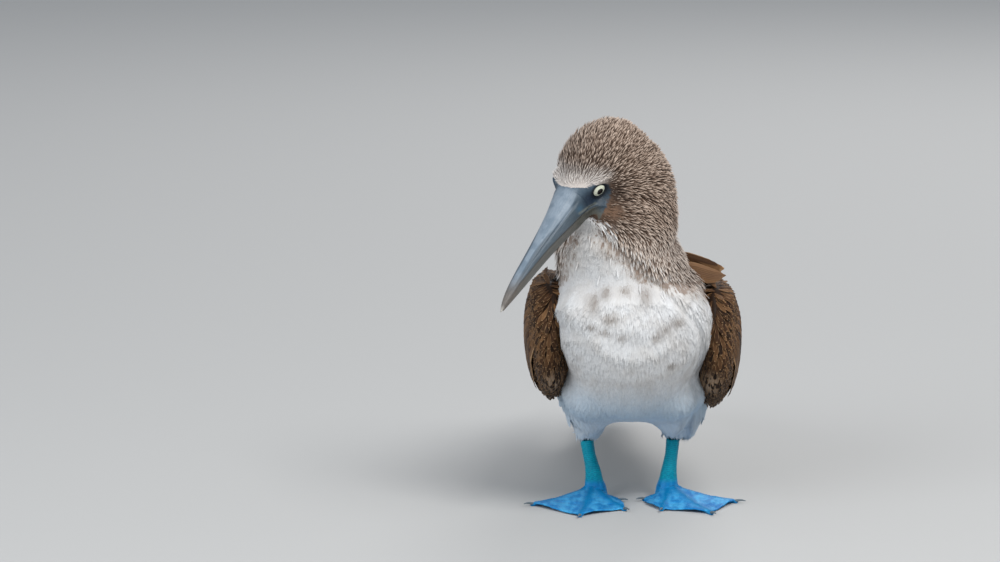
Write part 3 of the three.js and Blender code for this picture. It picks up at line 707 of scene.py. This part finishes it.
def spear(rings, prongs=((0.0, 1.0, 0.0),), ridge=0.32):
    """A pointed feather of unit length along +X, of one or more prongs (angle, length, sideways start)."""
    points, faces = [], []
    for angle, reach, start in prongs:
        turn, base = math.radians(angle), len(points)
        for t, half, rise in rings:
            x, z = t * reach, rise
            for across, high in ((-half, 0.0), (0.0, ridge * half), (half, 0.0)):
                px = x * math.cos(turn) - across * math.sin(turn)
                points.append((px, start + x * math.sin(turn) + across * math.cos(turn), z + high))
        root, tip = len(points), len(points) + 1
        first, last = rings[0], rings[-1]
        points.append((0, start, first[2] - 0.02))
        points.append((reach * math.cos(turn), start + reach * math.sin(turn), last[2] - 0.05))
        for k in range(3):
            j = (k + 1) % 3
            faces.append((root, base + j, base + k))
            for ring in range(len(rings) - 1):
                a = base + ring * 3
                faces.append((a + k, a + j, a + j + 3, a + k + 3))
            faces.append((base + 3 * len(rings) - 3 + k, base + 3 * len(rings) - 3 + j, tip))
    return points, faces


def feather_shape(name, points, faces):
    """A source feather, kept out of the scene, with its own coordinates for its colours."""
    mesh = solid(name, points, faces)
    quill = read(mesh.vertices)
    store(mesh, "quill", quill / np.array([1, np.abs(quill[:, 1]).max(), 1]))
    return bpy.data.objects.new(name, mesh)


lance = feather_shape("lance", *spear([(0.28, 0.5, 0.0), (0.68, 0.36, 0.03)]))
plume = feather_shape(
    "plume",
    *spear([(0.45, 0.2, 0.0)], [(0, 1.0, 0), (17, 0.84, 0.1), (-17, 0.84, -0.1)], ridge=0.16),
)
rows = [(0.0, 0.3), (0.3, 0.86), (0.62, 1.0), (0.86, 0.74), (1.0, 0.2)]
grid = np.array([
    [(t, 0.5 * half * c, 0.05 * (1 - c * c) - 0.06 * t * t) for c in (-1, 0, 1)] for t, half in rows
])
scale = feather_shape("scale_feather", *closed_sheet(grid, grid - np.array([0, 0, 0.05])))

coat_tree, given, coat_out = grouped("booby_coat", {
    "Surface": "Geometry", "Feather": "Object", "Paint": "Material", "Zone": "Int", "Spacing": "Float",
    "Length": "Float", "Width": "Float", "Depth": "Float", "Lift": "Float", "Ruffle": "Float", "Seed": "Int",
}, {"Coat": "Geometry"}, kind="GeometryNodeTree")


def field(name, kind="FLOAT"):
    return placed(coat_tree, "GeometryNodeInputNamedAttribute", {"Name": name}, data_type=kind)[0]


def drawn(low, high, offset):
    """A random number for each feather, from the tree's seed."""
    limits = {"Min": low, "Max": high, "Seed": given["Seed"] + float(offset)}
    return placed(coat_tree, "FunctionNodeRandomValue", limits, data_type="FLOAT")[1]


def saved(geometry, name, value, kind, domain="POINT"):
    """The geometry with one more attribute."""
    attribute = {"Geometry": geometry, "Name": name, "Value": value}
    return placed(coat_tree, "GeometryNodeStoreNamedAttribute", attribute, data_type=kind, domain=domain)[0]


in_zone = {"A": field("zone", "INT"), "B": given["Zone"]}
in_zone = placed(coat_tree, "FunctionNodeCompare", in_zone, data_type="INT", operation="EQUAL")[0]
MOST_ROOTS = 4e6  # on a square metre, before they are thinned to their spacing
roots, normal = placed(coat_tree, "GeometryNodeDistributePointsOnFaces", {
    "Mesh": given["Surface"], "Selection": in_zone, "Distance Min": given["Spacing"],
    "Density Max": MOST_ROOTS, "Density Factor": field("cover"), "Seed": given["Seed"],
}, distribute_method="POISSON")[:2]
turned = placed(
    coat_tree, "FunctionNodeAxesToRotation",
    {"Primary Axis": normal, "Secondary Axis": field("lie", "FLOAT_VECTOR")},
    primary_axis="Z", secondary_axis="X",
)[0]
swing = given["Ruffle"] * drawn(-1.0, 1.0, 11)
roll = given["Ruffle"] * drawn(-1.0, 1.0, 12)
raised = given["Lift"] * drawn(-1.35, -0.65, 13)
own_turn = placed(coat_tree, "ShaderNodeCombineXYZ", {0: roll, 1: raised, 2: swing})[0]
own_turn = placed(coat_tree, "FunctionNodeEulerToRotation", {0: own_turn})[0]
turned = placed(coat_tree, "FunctionNodeRotateRotation", {0: turned, 1: own_turn}, rotation_space="LOCAL")[0]
growth = field("size") * drawn(0.82, 1.18, 14)
girth = enumerate(given[label] * growth for label in ("Length", "Width", "Depth"))
girth = placed(coat_tree, "ShaderNodeCombineXYZ", girth)[0]
roots = saved(roots, "root", placed(coat_tree, "GeometryNodeInputPosition")[0], "FLOAT_VECTOR")
roots = saved(roots, "chance", drawn(0.0, 1.0, 15), "FLOAT")
feather = placed(coat_tree, "GeometryNodeObjectInfo", {"Object": given["Feather"]})[-1]
coat = placed(coat_tree, "GeometryNodeInstanceOnPoints", {
    "Points": roots, "Instance": feather, "Rotation": turned, "Scale": girth,
})[0]
coat = placed(coat_tree, "GeometryNodeRealizeInstances", {0: coat})[0]
PATCH = (0.003, 0.0015, 0)  # a feather's share of the map, beside the place of its root
patch = {0: field("quill", "FLOAT_VECTOR"), 1: PATCH}
patch = {0: placed(coat_tree, "ShaderNodeVectorMath", patch, operation="MULTIPLY")[0]}
patch[1] = field("unwrap", "FLOAT_VECTOR")
patch = placed(coat_tree, "ShaderNodeVectorMath", patch, operation="ADD")[0]
coat = saved(coat, "OFBake", patch, "FLOAT2", "CORNER")
coat = placed(coat_tree, "GeometryNodeSetMaterial", {"Geometry": coat, "Material": given["Paint"]})[0]
fed(coat_tree, coat_out, {"Coat": coat})


def grown(name, surface, slot, **sizes):
    """One piece of plumage over a surface, as a plain mesh."""
    host = bpy.data.objects.new(name + "_host", surface)
    bpy.context.scene.collection.objects.link(host)
    coat = host.modifiers.new("coat", "NODES")
    coat.node_group = coat_tree
    sockets = {s.name: s.identifier for s in coat_tree.interface.items_tree if s.in_out == "INPUT"}
    for label, value in sizes.items():
        coat[sockets[label]] = value
    host.update_tag()
    baked = bpy.data.meshes.new_from_object(host.evaluated_get(bpy.context.evaluated_depsgraph_get()))
    host.modifiers.remove(coat)
    bpy.data.objects.remove(host)
    for spare in ("lie", "zone", "size", "cover", "unwrap", "head_place"):
        if spare in baked.attributes:
            baked.attributes.remove(baked.attributes[spare])
    piece = shown(name, baked, smooth=False)
    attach(piece, "root")
    return piece


# Barbs run out from each feather's shaft as fine ridges.
BARBS = 60
plumage, tree, shader = principled(
    "body_plumage", Roughness=0.8, Specular_IOR_Level=0.12, Sheen_Weight=0.15, Sheen_Roughness=0.6
)
length, sideways, _ = split(kept(tree, "quill", True))
slant = (length - abs(sideways)) * BARBS
fed(tree, shader, {
    "Base Color": marked(tree, kept(tree, "root", True), length, kept(tree, "chance")),
    "Normal": bumped(slant.reckoned("SINE", slant), 0.25, 0.0001),
})
# Each piece: its zone and feather, then spacing, length and width in millimetres, lift and ruffle in degrees
for name, zone_number, feather, spacing, length, width, lift, ruffle, slot in (
    ("head_feathers", 0, lance, 1.05, 7.8, 1.2, 21, 8, "neck_plumage"),
    ("neck_feathers", 1, lance, 1.15, 8.2, 1.35, 16, 9, "neck_plumage"),
    ("throat_feathers", 6, plume, 1.15, 7.6, 2.5, 4, 8, "neck_plumage"),
    ("thigh_feathers", 2, plume, 1.3, 9.0, 2.8, 4, 8, "belly_plumage"),
    ("back_feathers", 3, scale, 3.0, 14.0, 7.0, 7, 8, "wing_plumage"),
    ("breast_feathers", 4, plume, 1.2, 9.0, 2.7, 3.5, 7, "belly_plumage"),
    ("belly_feathers", 5, plume, 1.4, 10.0, 3.0, 3.5, 7, "belly_plumage"),
):
    grown(
        name, skin_mesh, slot, Feather=feather, Paint=plumage, Zone=zone_number, Spacing=spacing * MM,
        Length=length * MM, Width=width * MM, Depth=min(width, 3.0) * MM, Lift=math.radians(lift),
        Ruffle=math.radians(ruffle), Seed=31 + zone_number,
    )


# Each wing is folded: a fleshed arm against the flank, small scaly coverts over its front, then rows of
# longer feathers, each lying over the next, down to the blackish primaries that reach the tail.
# Rows of the arm: its middle, half width, and half height above and below
WING_ROWS = np.array([
    (56, -75, 154, 4, 10, 12), (60, -67, 150, 9, 23, 28), (61, -48, 141, 13.5, 34, 43),
    (60, -20, 130, 16.5, 41, 46), (59, 20, 120, 15, 43, 45), (53, 70, 109, 12, 38, 37),
    (44, 130, 97, 8, 29, 24), (33, 190, 83, 5, 18, 14), (24, 250, 66, 3, 10, 8), (18, 290, 54, 1, 2, 2),
], float)
WING_SET = {"left": (1, -6.0, -0.5), "right": (-1, 0.0, -2.5)}  # side, droop and spread


def wing_rows(side):
    way, droop, spread = WING_SET[side]
    rows = WING_ROWS.copy()
    settled = ramp(rows[:, 1], -84, -30) * (1 - ramp(rows[:, 1], 60, 250))
    rows[:, 0] += spread * settled
    rows[:, 2] += droop * settled
    return rows


def swept_rings(rows, count, sides, across):
    """Rings of points round a path: rows of centre, half width along across, half height above and below."""
    path = curve_through(rows, count)
    centre, girth = path[:, :3], np.maximum(path[:, 3:], 0.3)
    run = unit(np.gradient(centre, axis=0))
    side = in_surface(np.broadcast_to(np.array(across, float), run.shape), run)
    up = np.cross(side, run)
    turn = np.linspace(0, 2 * math.pi, sides, endpoint=False)
    high = np.where(np.sin(turn) > 0, girth[:, 1:2], girth[:, 2:3]) * np.sin(turn)
    wide = girth[:, :1] * np.cos(turn)
    return centre[:, None] + side[:, None] * wide[..., None] + up[:, None] * high[..., None]


def wing_face(rows, y, z, lift):
    """A point lifted off the wing's outer face at a length and height along it, and the way out there."""
    def depth(yy, zz):
        yy = np.minimum(yy, 300)
        x, mid, width, above, below = (np.interp(yy, rows[:, 1], rows[:, k]) for k in (0, 2, 3, 4, 5))
        off = zz - mid
        share = np.clip(off / np.maximum(np.where(off > 0, above, below), 6), -1.02, 1.02)
        return x + np.maximum(width, 2) * np.sqrt(1 - 0.88 * share**2)

    normal = unit(np.stack([
        np.ones_like(y), (depth(y - 3, z) - depth(y + 3, z)) / 6, (depth(y, z - 3) - depth(y, z + 3)) / 6,
    ], -1))
    return np.stack([depth(y, z), y, z], -1) + normal * lift[..., None], normal


def wing_height(rows, y, share):
    """The height at a length along the wing, at a share of its reach above or below its middle."""
    reach = np.interp(min(y, 290), rows[:, 1], rows[:, 4 if share > 0 else 5])
    return np.interp(y, rows[:, 1], rows[:, 2]) + share * max(float(reach), 5)


LENGTHS, ACROSS = np.linspace(0, 1, 15), np.array([-1, -0.62, -0.25, -0.05, 0.05, 0.3, 0.65, 1])
RAGGED = 0.04
PLUME_SHAPES = {
    "pointed": ([0, 0.1, 0.35, 0.7, 0.88, 0.96, 1], [0.3, 0.75, 1, 0.92, 0.62, 0.34, 0.1]),
    "rounded": ([0, 0.15, 0.4, 0.75, 0.92, 0.98, 1], [0.45, 0.85, 1, 1, 0.78, 0.46, 0.16]),
}


def quill_grid(half_width, shape, chance):
    """Where a feather's points lie: along its length, across it, its half width there and its thickness."""
    along = LENGTHS[:, None] + 0 * ACROSS
    lean = 0.02 * np.sin(9 * along + 6 * chance)
    half = half_width * np.interp(LENGTHS, *PLUME_SHAPES[shape])[:, None]
    half = half * (1 + RAGGED * np.sin(40 * along + 17 * chance) * (np.abs(ACROSS) > 0.9))
    across = half * (ACROSS + lean)
    swept_back = along + 0.35 * half_width / 60 * (1 - np.abs(ACROSS)) * (along > 0.9)
    shaft = np.where(np.abs(ACROSS) < 0.1, 0.35 * (1 - 0.8 * along), 0.0)
    thick = 0.45 * (1 - 0.5 * along) * np.where(np.abs(ACROSS) > 0.9, 0.35, 1.0)
    return swept_back, across, shaft, thick


class Vanes:
    """Gathers large feathers into one mesh, each with its own chance number and its place on it."""

    def __init__(self):
        self.points, self.faces, self.kept = [], [], {"quill": [], "chance": [], "kind": []}

    def add(self, middle, normal, shaft, thick, quill_across, along, chance, kind):
        top = middle + normal * (thick / 2 + shaft)[..., None]
        points, faces = closed_sheet(top, middle - normal * (thick / 2)[..., None])
        base = sum(len(p) for p in self.points)
        self.points.append(points)
        self.faces += [tuple(int(i) + base for i in f) for f in faces]
        quill = np.stack([along, quill_across, 0 * along], -1).reshape(-1, 3)
        self.kept["quill"].append(np.concatenate([quill, quill + np.array([0, 0, -1])]))
        self.kept["chance"].append(np.full(len(points), chance))
        self.kept["kind"].append(np.full(len(points), float(kind)))

    def mesh(self, way=1):
        mesh = solid("vanes", from_bird(np.concatenate(self.points) * np.array([way, 1, 1])), self.faces, 3)
        for name, values in self.kept.items():
            store(mesh, name, np.concatenate(values))
        return mesh


# Shades of a large feather: 0 brown covert, 1 darker secondary, 2 blackish primary, 3 rufous scapular,
# 4 tail feather with a pale middle.
SHADES = (
    ((46, 29, 17), (84, 56, 34)), ((28, 19, 13), (58, 41, 30)), ((12, 11, 11), (28, 23, 21)),
    ((64, 46, 36), (122, 94, 75)), ((50, 40, 35), (92, 80, 72)),
)
wing_paint, tree, shader = principled("wing_feathers", Roughness=0.6, Specular_IOR_Level=0.12)
length, sideways, _ = split(kept(tree, "quill", True))
off_shaft = abs(sideways)
chance, kind, where = kept(tree, "chance"), kept(tree, "kind"), object_place(tree)
across, _, low_down = split(where)
blotch = mottle(where, 160, 3)
hue = blended(blotch, *SHADES[0])
for shade, colours in enumerate(SHADES[1:]):
    hue = blended(stepped(kind, shade + 0.45, shade + 0.55), hue, blended(blotch, *colours))
hue = blended(stepped(chance, 0.4, 1.0, 0.0, 0.5), hue, (146, 108, 72))
hue = blended(stepped(chance, 0.35, 0.0, 0.0, 0.75), hue, (22, 15, 11))
# painted shade: the folded wing grows darker towards its bottom
hue = blended(stepped(low_down, 0.13, 0.085, 0.0, 0.55), hue, (22, 17, 14))
pale_spot = bell(abs(across - BIRD.x), 0.056, 0.0055) * bell(low_down, 0.095, 0.007)
hue = blended(pale_spot * stepped(chance, 0.2, 0.6) * 0.8, hue, (178, 154, 130))
edge = most(stepped(off_shaft, 0.72, 1.0), stepped(length, 0.9, 1.0)) * stepped(kind, 1.6, 2.0, 0.8, 0.3)
hue = blended(edge, hue, (170, 136, 100))
hue = blended(stepped(off_shaft, 0.1, 0.04) * 0.45, hue, (52, 38, 30))
slant = (length * 6.0 - off_shaft) * 90.0
fed(tree, shader, {
    "Base Color": hue,
    "Roughness": stepped(blotch, 0.3, 0.7, 0.5, 0.68),
    "Normal": bumped(slant.reckoned("SINE", slant), 0.3, 0.0002),
})

# Rows of the wing: number, first and last root, first and last tip, half width, lift, fan, shade and shape
WING_TIERS = (
    (11, (98, -0.7), (60, 0.45), (321, -0.4), (216, 0.78), 5.6, 0.4, 0.42, 2, "pointed"),
    (13, (-16, -0.86), (44, 0.7), (112, -0.86), (190, 0.66), 7.4, 1.5, 0.16, 1, "rounded"),
    (15, (-52, -0.8), (4, 0.74), (34, -0.93), (100, 0.72), 6.4, 2.5, 0.1, 0, "rounded"),
    (15, (-72, -0.66), (-26, 0.8), (-14, -0.9), (44, 0.8), 5.6, 3.2, 0.08, 0, "rounded"),
    (4, (-48, 0.72), (-30, 0.99), (128, 0.74), (170, 0.99), 8.4, 3.4, 0.3, 0, "rounded"),
)


def wing_vanes(side):
    rows, draw, vanes = wing_rows(side), np.random.default_rng(5 if side == "left" else 6), Vanes()
    for count, root0, root1, tip0, tip1, half_width, lift, fan, shade, shape in WING_TIERS:
        for i in range(count):
            t = i / (count - 1)
            root, tip = (np.array(a) + np.subtract(b, a) * t for a, b in ((root0, root1), (tip0, tip1)))
            tip += np.array([7, 0.05]) * (draw.random(2) - 0.5)
            start, end = (np.array([y, wing_height(rows, y, share)]) for y, share in (root, tip))
            chance = draw.random()
            along, across, shaft, thick = quill_grid(half_width * (0.9 + 0.2 * chance), shape, chance)
            run = unit(end - start)
            share = across / half_width
            y = start[0] + (end[0] - start[0]) * along - run[1] * across
            z = start[1] + (end[1] - start[1]) * along + run[0] * across
            rise = np.interp(along, [0, 0.25, 0.8, 1], [-lift - 1.5, 0, 0.35, 0.5])
            rise = lift + fan * i * along + rise - 0.55 * share - 0.35 * share**2
            middle, normal = wing_face(rows, y, z, rise)
            vanes.add(middle, normal, shaft, thick, share, along, chance, shade)
    return vanes


# A ruffled tuft of scapulars stands out over the left shoulder in two points.
SCAPULARS = (
    ((24, -62, 188), (42, -60, 183), (57, -54, 178), (67, -48, 176.5), 8.0, 0),
    ((28, -66, 181), (45, -64, 177), (58, -58, 173), (67.5, -52, 172.5), 7.0, 3),
    ((24, -58, 181), (40, -55, 175), (52, -50, 170), (60, -46, 169), 7.0, 3),
)


def scapular_vanes(vanes, seed):
    draw = np.random.default_rng(seed)
    for *path, half_width, shade in SCAPULARS:
        for k in range(6):
            jitter = np.array([(k - 2.5) * 0.3, (k - 2.5) * 0.9, (2.5 - k) * 1.7])
            length = 1 - 0.07 * abs(k - 1.5) - 0.05 * draw.random()
            spine = curve_through(np.array(path) + jitter * np.array([[0.8], [1], [0.8], [0.25]]), 40)
            chance = draw.random()
            along, across, shaft, thick = quill_grid(half_width * 0.42, "pointed", chance)
            ends = np.linspace(0, 1, 40)
            reach = np.clip(along, 0, 1) * length
            centre = np.stack([np.interp(reach, ends, spine[:, j]) for j in range(3)], -1)
            run = unit(np.gradient(centre, axis=0))
            side = in_surface(np.broadcast_to(np.array([0.1, 0.25, 1.0]), run.shape), run)
            normal = np.cross(run, side)
            normal *= -np.sign(normal[..., 1:2] + 1e-9)
            share = across / (half_width * 0.42)
            middle = centre + side * across[..., None] + normal * (0.6 * k - 0.9 * share**2)[..., None]
            vanes.add(middle, normal, shaft, thick, share, along, chance, shade)


for side, (way, _, _) in WING_SET.items():
    slim = wing_rows(side)
    slim[:, 3] = np.maximum(slim[:, 3] - 1.2, 0.6)
    slim[:, 4:] = np.maximum(slim[:, 4:] - 1.5, 0.8)
    rings = swept_rings(slim, 70, 48, (1, 0, 0)) * np.array([way, 1, 1])
    arm = closed_tube(from_bird(rings), "wing_arm")
    y = in_bird(read(arm.vertices))[:, 1]
    turned_back = ramp(y, -30, 25)
    slope = np.stack([0 * y, 0.55 + 0.45 * turned_back, -1 + 0.6 * turned_back], 1)
    store(arm, "lie", in_surface(slope, read(arm.vertices, "normal")))
    store(arm, "size", 0.75 + 0.5 * ramp(y, -80, 10))
    store(arm, "cover", 1 - ramp(y, -8, 14))
    store(arm, "kind", 0 * y)
    arm.attributes.new("zone", "INT", "FACE")
    arm_ob = shown(f"wing_{side}_arm", arm, wing_paint)
    unwrapped(arm_ob, "unwrap")
    store(arm, "quill", np.full((len(arm.vertices), 3), 0.5))
    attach(arm_ob, "root")
    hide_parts(f"wing_{side}")
    coverts = grown(
        f"wing_{side}_coverts", arm, "wing_plumage", Feather=scale, Paint=wing_paint, Zone=0, Seed=71,
        Spacing=2.45 * MM, Length=13 * MM, Width=3.8 * MM, Depth=4 * MM, Lift=math.radians(9),
        Ruffle=math.radians(6),
    )
    vanes = wing_vanes(side)
    if way > 0:
        scapular_vanes(vanes, 9)
    feathers = shown(f"wing_{side}_feathers", vanes.mesh(way), wing_paint)
    feathers.data.set_sharp_from_angle(angle=math.radians(40))
    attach(feathers, "root")


# The tail is a wedge of stiff pointed feathers, the middle pair longest and uppermost, over a fleshy root.
TAIL_CORE = [
    (0, 112, 92, 21, 20, 20), (0, 145, 82, 19, 8, 8), (0, 180, 70, 15, 3.4, 3.4), (0, 215, 58.5, 9, 1.4, 1.4),
    (0, 240, 50.5, 3, 0.6, 0.6),
]
root_mesh = closed_tube(from_bird(swept_rings(TAIL_CORE, 30, 32, (1, 0, 0))), "tail_root")
tail_root = shown("tail_root", root_mesh, wing_paint)
store(root_mesh, "quill", np.full((len(root_mesh.vertices), 3), 0.5))
store(root_mesh, "kind", np.full(len(root_mesh.vertices), 1.0))
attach(tail_root, "root")
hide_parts("tail")
TAIL_START, TAIL_HALF = 124, 5.4
draw, vanes = np.random.default_rng(3), Vanes()
for i in sorted(range(14), key=lambda k: -abs(k - 6.5)):
    place = (i - 6.5) / 6.5
    chance = draw.random()
    along, across, shaft, thick = quill_grid(TAIL_HALF, "pointed", chance)
    share = across / TAIL_HALF
    y = TAIL_START + (198 - 78 * abs(place) ** 1.15) * along
    x = place * (14 + 11 * np.clip(along, 0, 1) ** 0.7) + across
    z = 90.9 - (y - TAIL_START) * 0.325 - 3.2 * abs(place) - 0.018 * x * x
    z += 0.25 * np.sign(place) * share - 0.36 * share**2
    normal = np.broadcast_to(unit(np.array([0, 0.31, 0.95])), x.shape + (3,))
    vanes.add(np.stack([x, y, z], -1), normal, shaft, thick, share, along, chance, 4)
tail_feathers = shown("tail_feathers", vanes.mesh(), wing_paint)
tail_feathers.data.set_sharp_from_angle(angle=math.radians(40))
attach(tail_feathers, "root")


# The bill is two horny sheaths that meet along the line of the mouth, with a long groove down each side of
# the upper one, fine streaks along both, and a browner hooked tip. It has no open nostrils.
HALF_GAP, LOWER_WIDTH, LOWER_END = 0.15, 0.96, 100.5
over, under = np.radians(np.linspace(0, 180, 61)), np.radians(np.linspace(180, 360, 41))
groove = hill((np.degrees(over) - 38) / 4) + hill((np.degrees(over) - 142) / 4)
plate = hill((np.degrees(over) - 58) / 2.5) + hill((np.degrees(over) - 122) / 2.5)
flat = np.linspace(-1, 1, 7)[1:-1]


def sheath_ring(x, y, z, mouth_y, mouth_z):
    """A ring of a sheath, closed along the mouth."""
    ring = np.stack([np.append(y, mouth_y), np.append(z, 0 * mouth_y + mouth_z)], 1)
    return np.insert(ring, 0, x, axis=1)


upper_rings, lower_rings = [], []
for x, width, culmen, mouth, keel in curve_through(BILL_ROWS, 90):
    fade = float(ramp(x, 0, 10) * ramp(x, 98, 84))
    reach = 1 - 0.075 * groove * fade - 0.02 * plate * fade
    z = mouth + HALF_GAP + (culmen - mouth) * np.sin(over) ** 0.9 * reach
    upper_rings.append(sheath_ring(x, width * np.cos(over) * reach, z, flat * width, mouth + HALF_GAP))
    x, width = min(x, LOWER_END + (x - LOWER_END) * 0.02), LOWER_WIDTH * width
    z = mouth - HALF_GAP + (mouth - keel) * np.sin(under)
    lower_rings.append(sheath_ring(x, width * np.cos(under), z, -flat * width, mouth - HALF_GAP))

bill_paint, tree, shader = principled("bill_sheath", Roughness=0.42, Specular_IOR_Level=0.35)
horn, streaks = faced(tree)
fed(tree, shader, {
    "Base Color": horn,
    "Roughness": stepped(streaks, 0.3, 0.7, 0.36, 0.52),
    "Normal": bumped(streaks, 0.35, 0.0005),
})
for name, rings in (("bill_upper", upper_rings), ("bill_lower", lower_rings)):
    mesh = closed_tube(from_head(np.array(rings)), name)
    store(mesh, "head_place", in_head(read(mesh.vertices)))
    sheath = shown(name + "_sheath", mesh, bill_paint)
    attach(sheath, "root")
    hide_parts(name)


# Each eye is a glossy domed front, with a pale iris and a small black pupil, seated behind its dark lids.
# Its points keep their distance from its axis and their place round it.
eye_paint, tree, shader = principled(
    "eye", Roughness=0.1, Specular_IOR_Level=0.3, Coat_Weight=0.3, Coat_Roughness=0.02
)
off_axis, *round_it = split(kept(tree, "gaze", True))
fibres = placed(tree, "ShaderNodeCombineXYZ", {0: off_axis * 0.5, 1: round_it[0], 2: round_it[1]})[0]
iris = blended(mottle(fibres, 6, 3), (190, 194, 168), (228, 230, 214))
IRIS, PUPIL = 4.65, 2.5  # half widths
iris = blended(stepped(off_axis, IRIS - 0.25, IRIS + 0.25), iris, (22, 30, 36))
iris = blended(stepped(off_axis, PUPIL + 0.1, PUPIL - 0.1), iris, (1, 1, 2))
fed(tree, shader, {"Base Color": iris})
across = np.concatenate([np.linspace(0.04, EYE_EDGE, 30), np.linspace(EYE_EDGE, 0.3, 8)])
out = np.concatenate([lens_height(across[:30]), np.linspace(float(lens_height(EYE_EDGE)) - 0.4, 2.0, 8)])
turn = np.linspace(0, 2 * math.pi, 64, endpoint=False)
for side, way in (("left", 1), ("right", -1)):
    axis = EYE_WAY * np.array([1, way, 1])
    first = unit(np.cross(axis, [0, 0, 1.0]))
    second = np.cross(axis, first)
    round_axis = np.cos(turn)[:, None] * first + np.sin(turn)[:, None] * second
    rings = out[:, None, None] * axis + across[:, None, None] * round_axis
    ball = closed_tube(from_head(rings + EYE_SEAT * np.array([1, way, 1])), "eye")
    around = np.tile(np.stack([np.cos(turn), np.sin(turn)], 1), (len(out), 1))
    store(ball, "gaze", np.column_stack([np.repeat(across, len(turn)), around]))
    eye = shown(f"eye_{side}_ball", ball, eye_paint)
    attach(eye, "root")
    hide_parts(f"eye_{side}")


# Each leg is bare and bright blue: a scaly shank, and four long toes in one web, with a crease over each
# toe's joints. It is one skin over both of the leg's solids.
# Each foot: side, yaw, where its ankle stands, and the angles of its outer, middle, inner and hind toes
FEET = {
    "left": (1, 23, (29, 4), (41, 0, -31, -75)), "right": (-1, 8, (-27.5, 0), (48, 0, -33, -62)),
}
TOES = (54, 73, 54, 25)
leg_paint, tree, shader = principled("blue_skin", Roughness=0.5, Specular_IOR_Level=0.15)
where = object_place(tree)
soft = mottle(where, 140, 3)
drawn_along = placed(tree, "ShaderNodeMapping", {"Vector": where, "Scale": (1.0, 0.35, 1.0)})[0]
web = blended(stepped(mottle(drawn_along, 230, 4), 0.3, 0.7), (14, 114, 182), (72, 166, 218))
blue = blended(kept(tree, "toe"), web, blended(soft, (0, 100, 160), (0, 134, 190)))
blue = blended(kept(tree, "shank"), blue, blended(soft, (0, 126, 150), (4, 170, 190)))
# painted shade in the creases over the toes' joints and between the shank's scutes
blue = blended(kept(tree, "crease") * 0.55, blue, (8, 78, 118))
scales = {"Vector": where, "Scale": 1100.0}
cells = placed(tree, "ShaderNodeTexVoronoi", scales, feature="DISTANCE_TO_EDGE")[0]
fed(tree, shader, {
    "Base Color": blue,
    "Roughness": stepped(soft, 0.3, 0.7, 0.36, 0.52),
    "Normal": bumped(stepped(cells, 0.0, 0.25), 0.4, 0.0003),
})
claw_paint, tree, shader = principled("claw_horn", Roughness=0.35)
fed(tree, shader, {"Base Color": blended(mottle(object_place(tree), 900, 3), (64, 76, 84), (120, 132, 138))})
TOE_CREASES, SHANK_SCUTES = 2.3, 1.5  # millimetres from one to the next
for side, (way, yaw, (fx, fy), spread) in FEET.items():
    leg = fused([f"tarsus_{side}", f"foot_{side}"], 0.3 * MM, 0.62 * MM, 8)
    points, outward = read(leg.vertices), read(leg.vertices, "normal")
    X, Y, Z = in_bird(points).T
    c, s = math.cos(math.radians(way * yaw)), math.sin(math.radians(way * yaw))
    flat = np.stack([(X - fx) * c + (Y - fy) * s, -(X - fx) * s + (Y - fy) * c], 1)
    toe, crease = 0 * X, 0 * X
    for length, angle in zip(TOES, spread):
        run = np.array([math.sin(math.radians(way * angle)), -math.cos(math.radians(way * angle))])
        far, aside = flat @ run, np.abs(flat @ np.array([run[1], -run[0]]))
        half_width = 3.6 - 1.6 * np.clip(far / length, 0, 1)
        on = hill(aside / half_width) * ramp(far, 2, 8) * ramp(far, length + 4, length)
        toe = np.maximum(toe, on)
        folds = ramp(np.sin(2 * math.pi * far / TOE_CREASES), 0.55, 1.0)
        crease = np.maximum(crease, on * folds * (outward[:, 2] > 0.2))
    shank = ramp(Z, 11, 16)
    bands = ramp(np.sin(2 * math.pi * Z / SHANK_SCUTES + 1.2 * np.sin(X * 1.3)), 0.35, 1.0)
    crease = np.maximum(crease * (1 - shank), bands * ramp(Z, 12, 15) * ramp(-outward[:, 1], -0.4, 0.3))
    veins = np.sin(0.9 * np.hypot(*flat.T) + 2.5 * np.sin(np.arctan2(flat[:, 1], flat[:, 0]) * 9))
    shift = 0.5 * toe - 0.3 * crease + 0.12 * veins * (1 - toe) * (1 - shank) - 0.35
    points += outward * (shift * MM)[:, None]
    points[:, 2] = np.maximum(points[:, 2], 0.0)
    moved(leg, points)
    for name, values in {"toe": toe, "crease": crease, "shank": shank}.items():
        store(leg, name, values)
    piece = shown(f"leg_{side}_skin", leg, leg_paint)
    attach(piece, "root")
    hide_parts(f"tarsus_{side}", f"foot_{side}")
    for toe_name in ("outer", "middle", "inner", "hind"):
        horn = fused([f"claw_{side}_{toe_name}"], 0.15 * MM, 0.3 * MM, 5)
        claw = shown(f"claw_{side}_{toe_name}_horn", horn, claw_paint)
        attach(claw, "root")
        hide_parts(f"claw_{side}_{toe_name}")
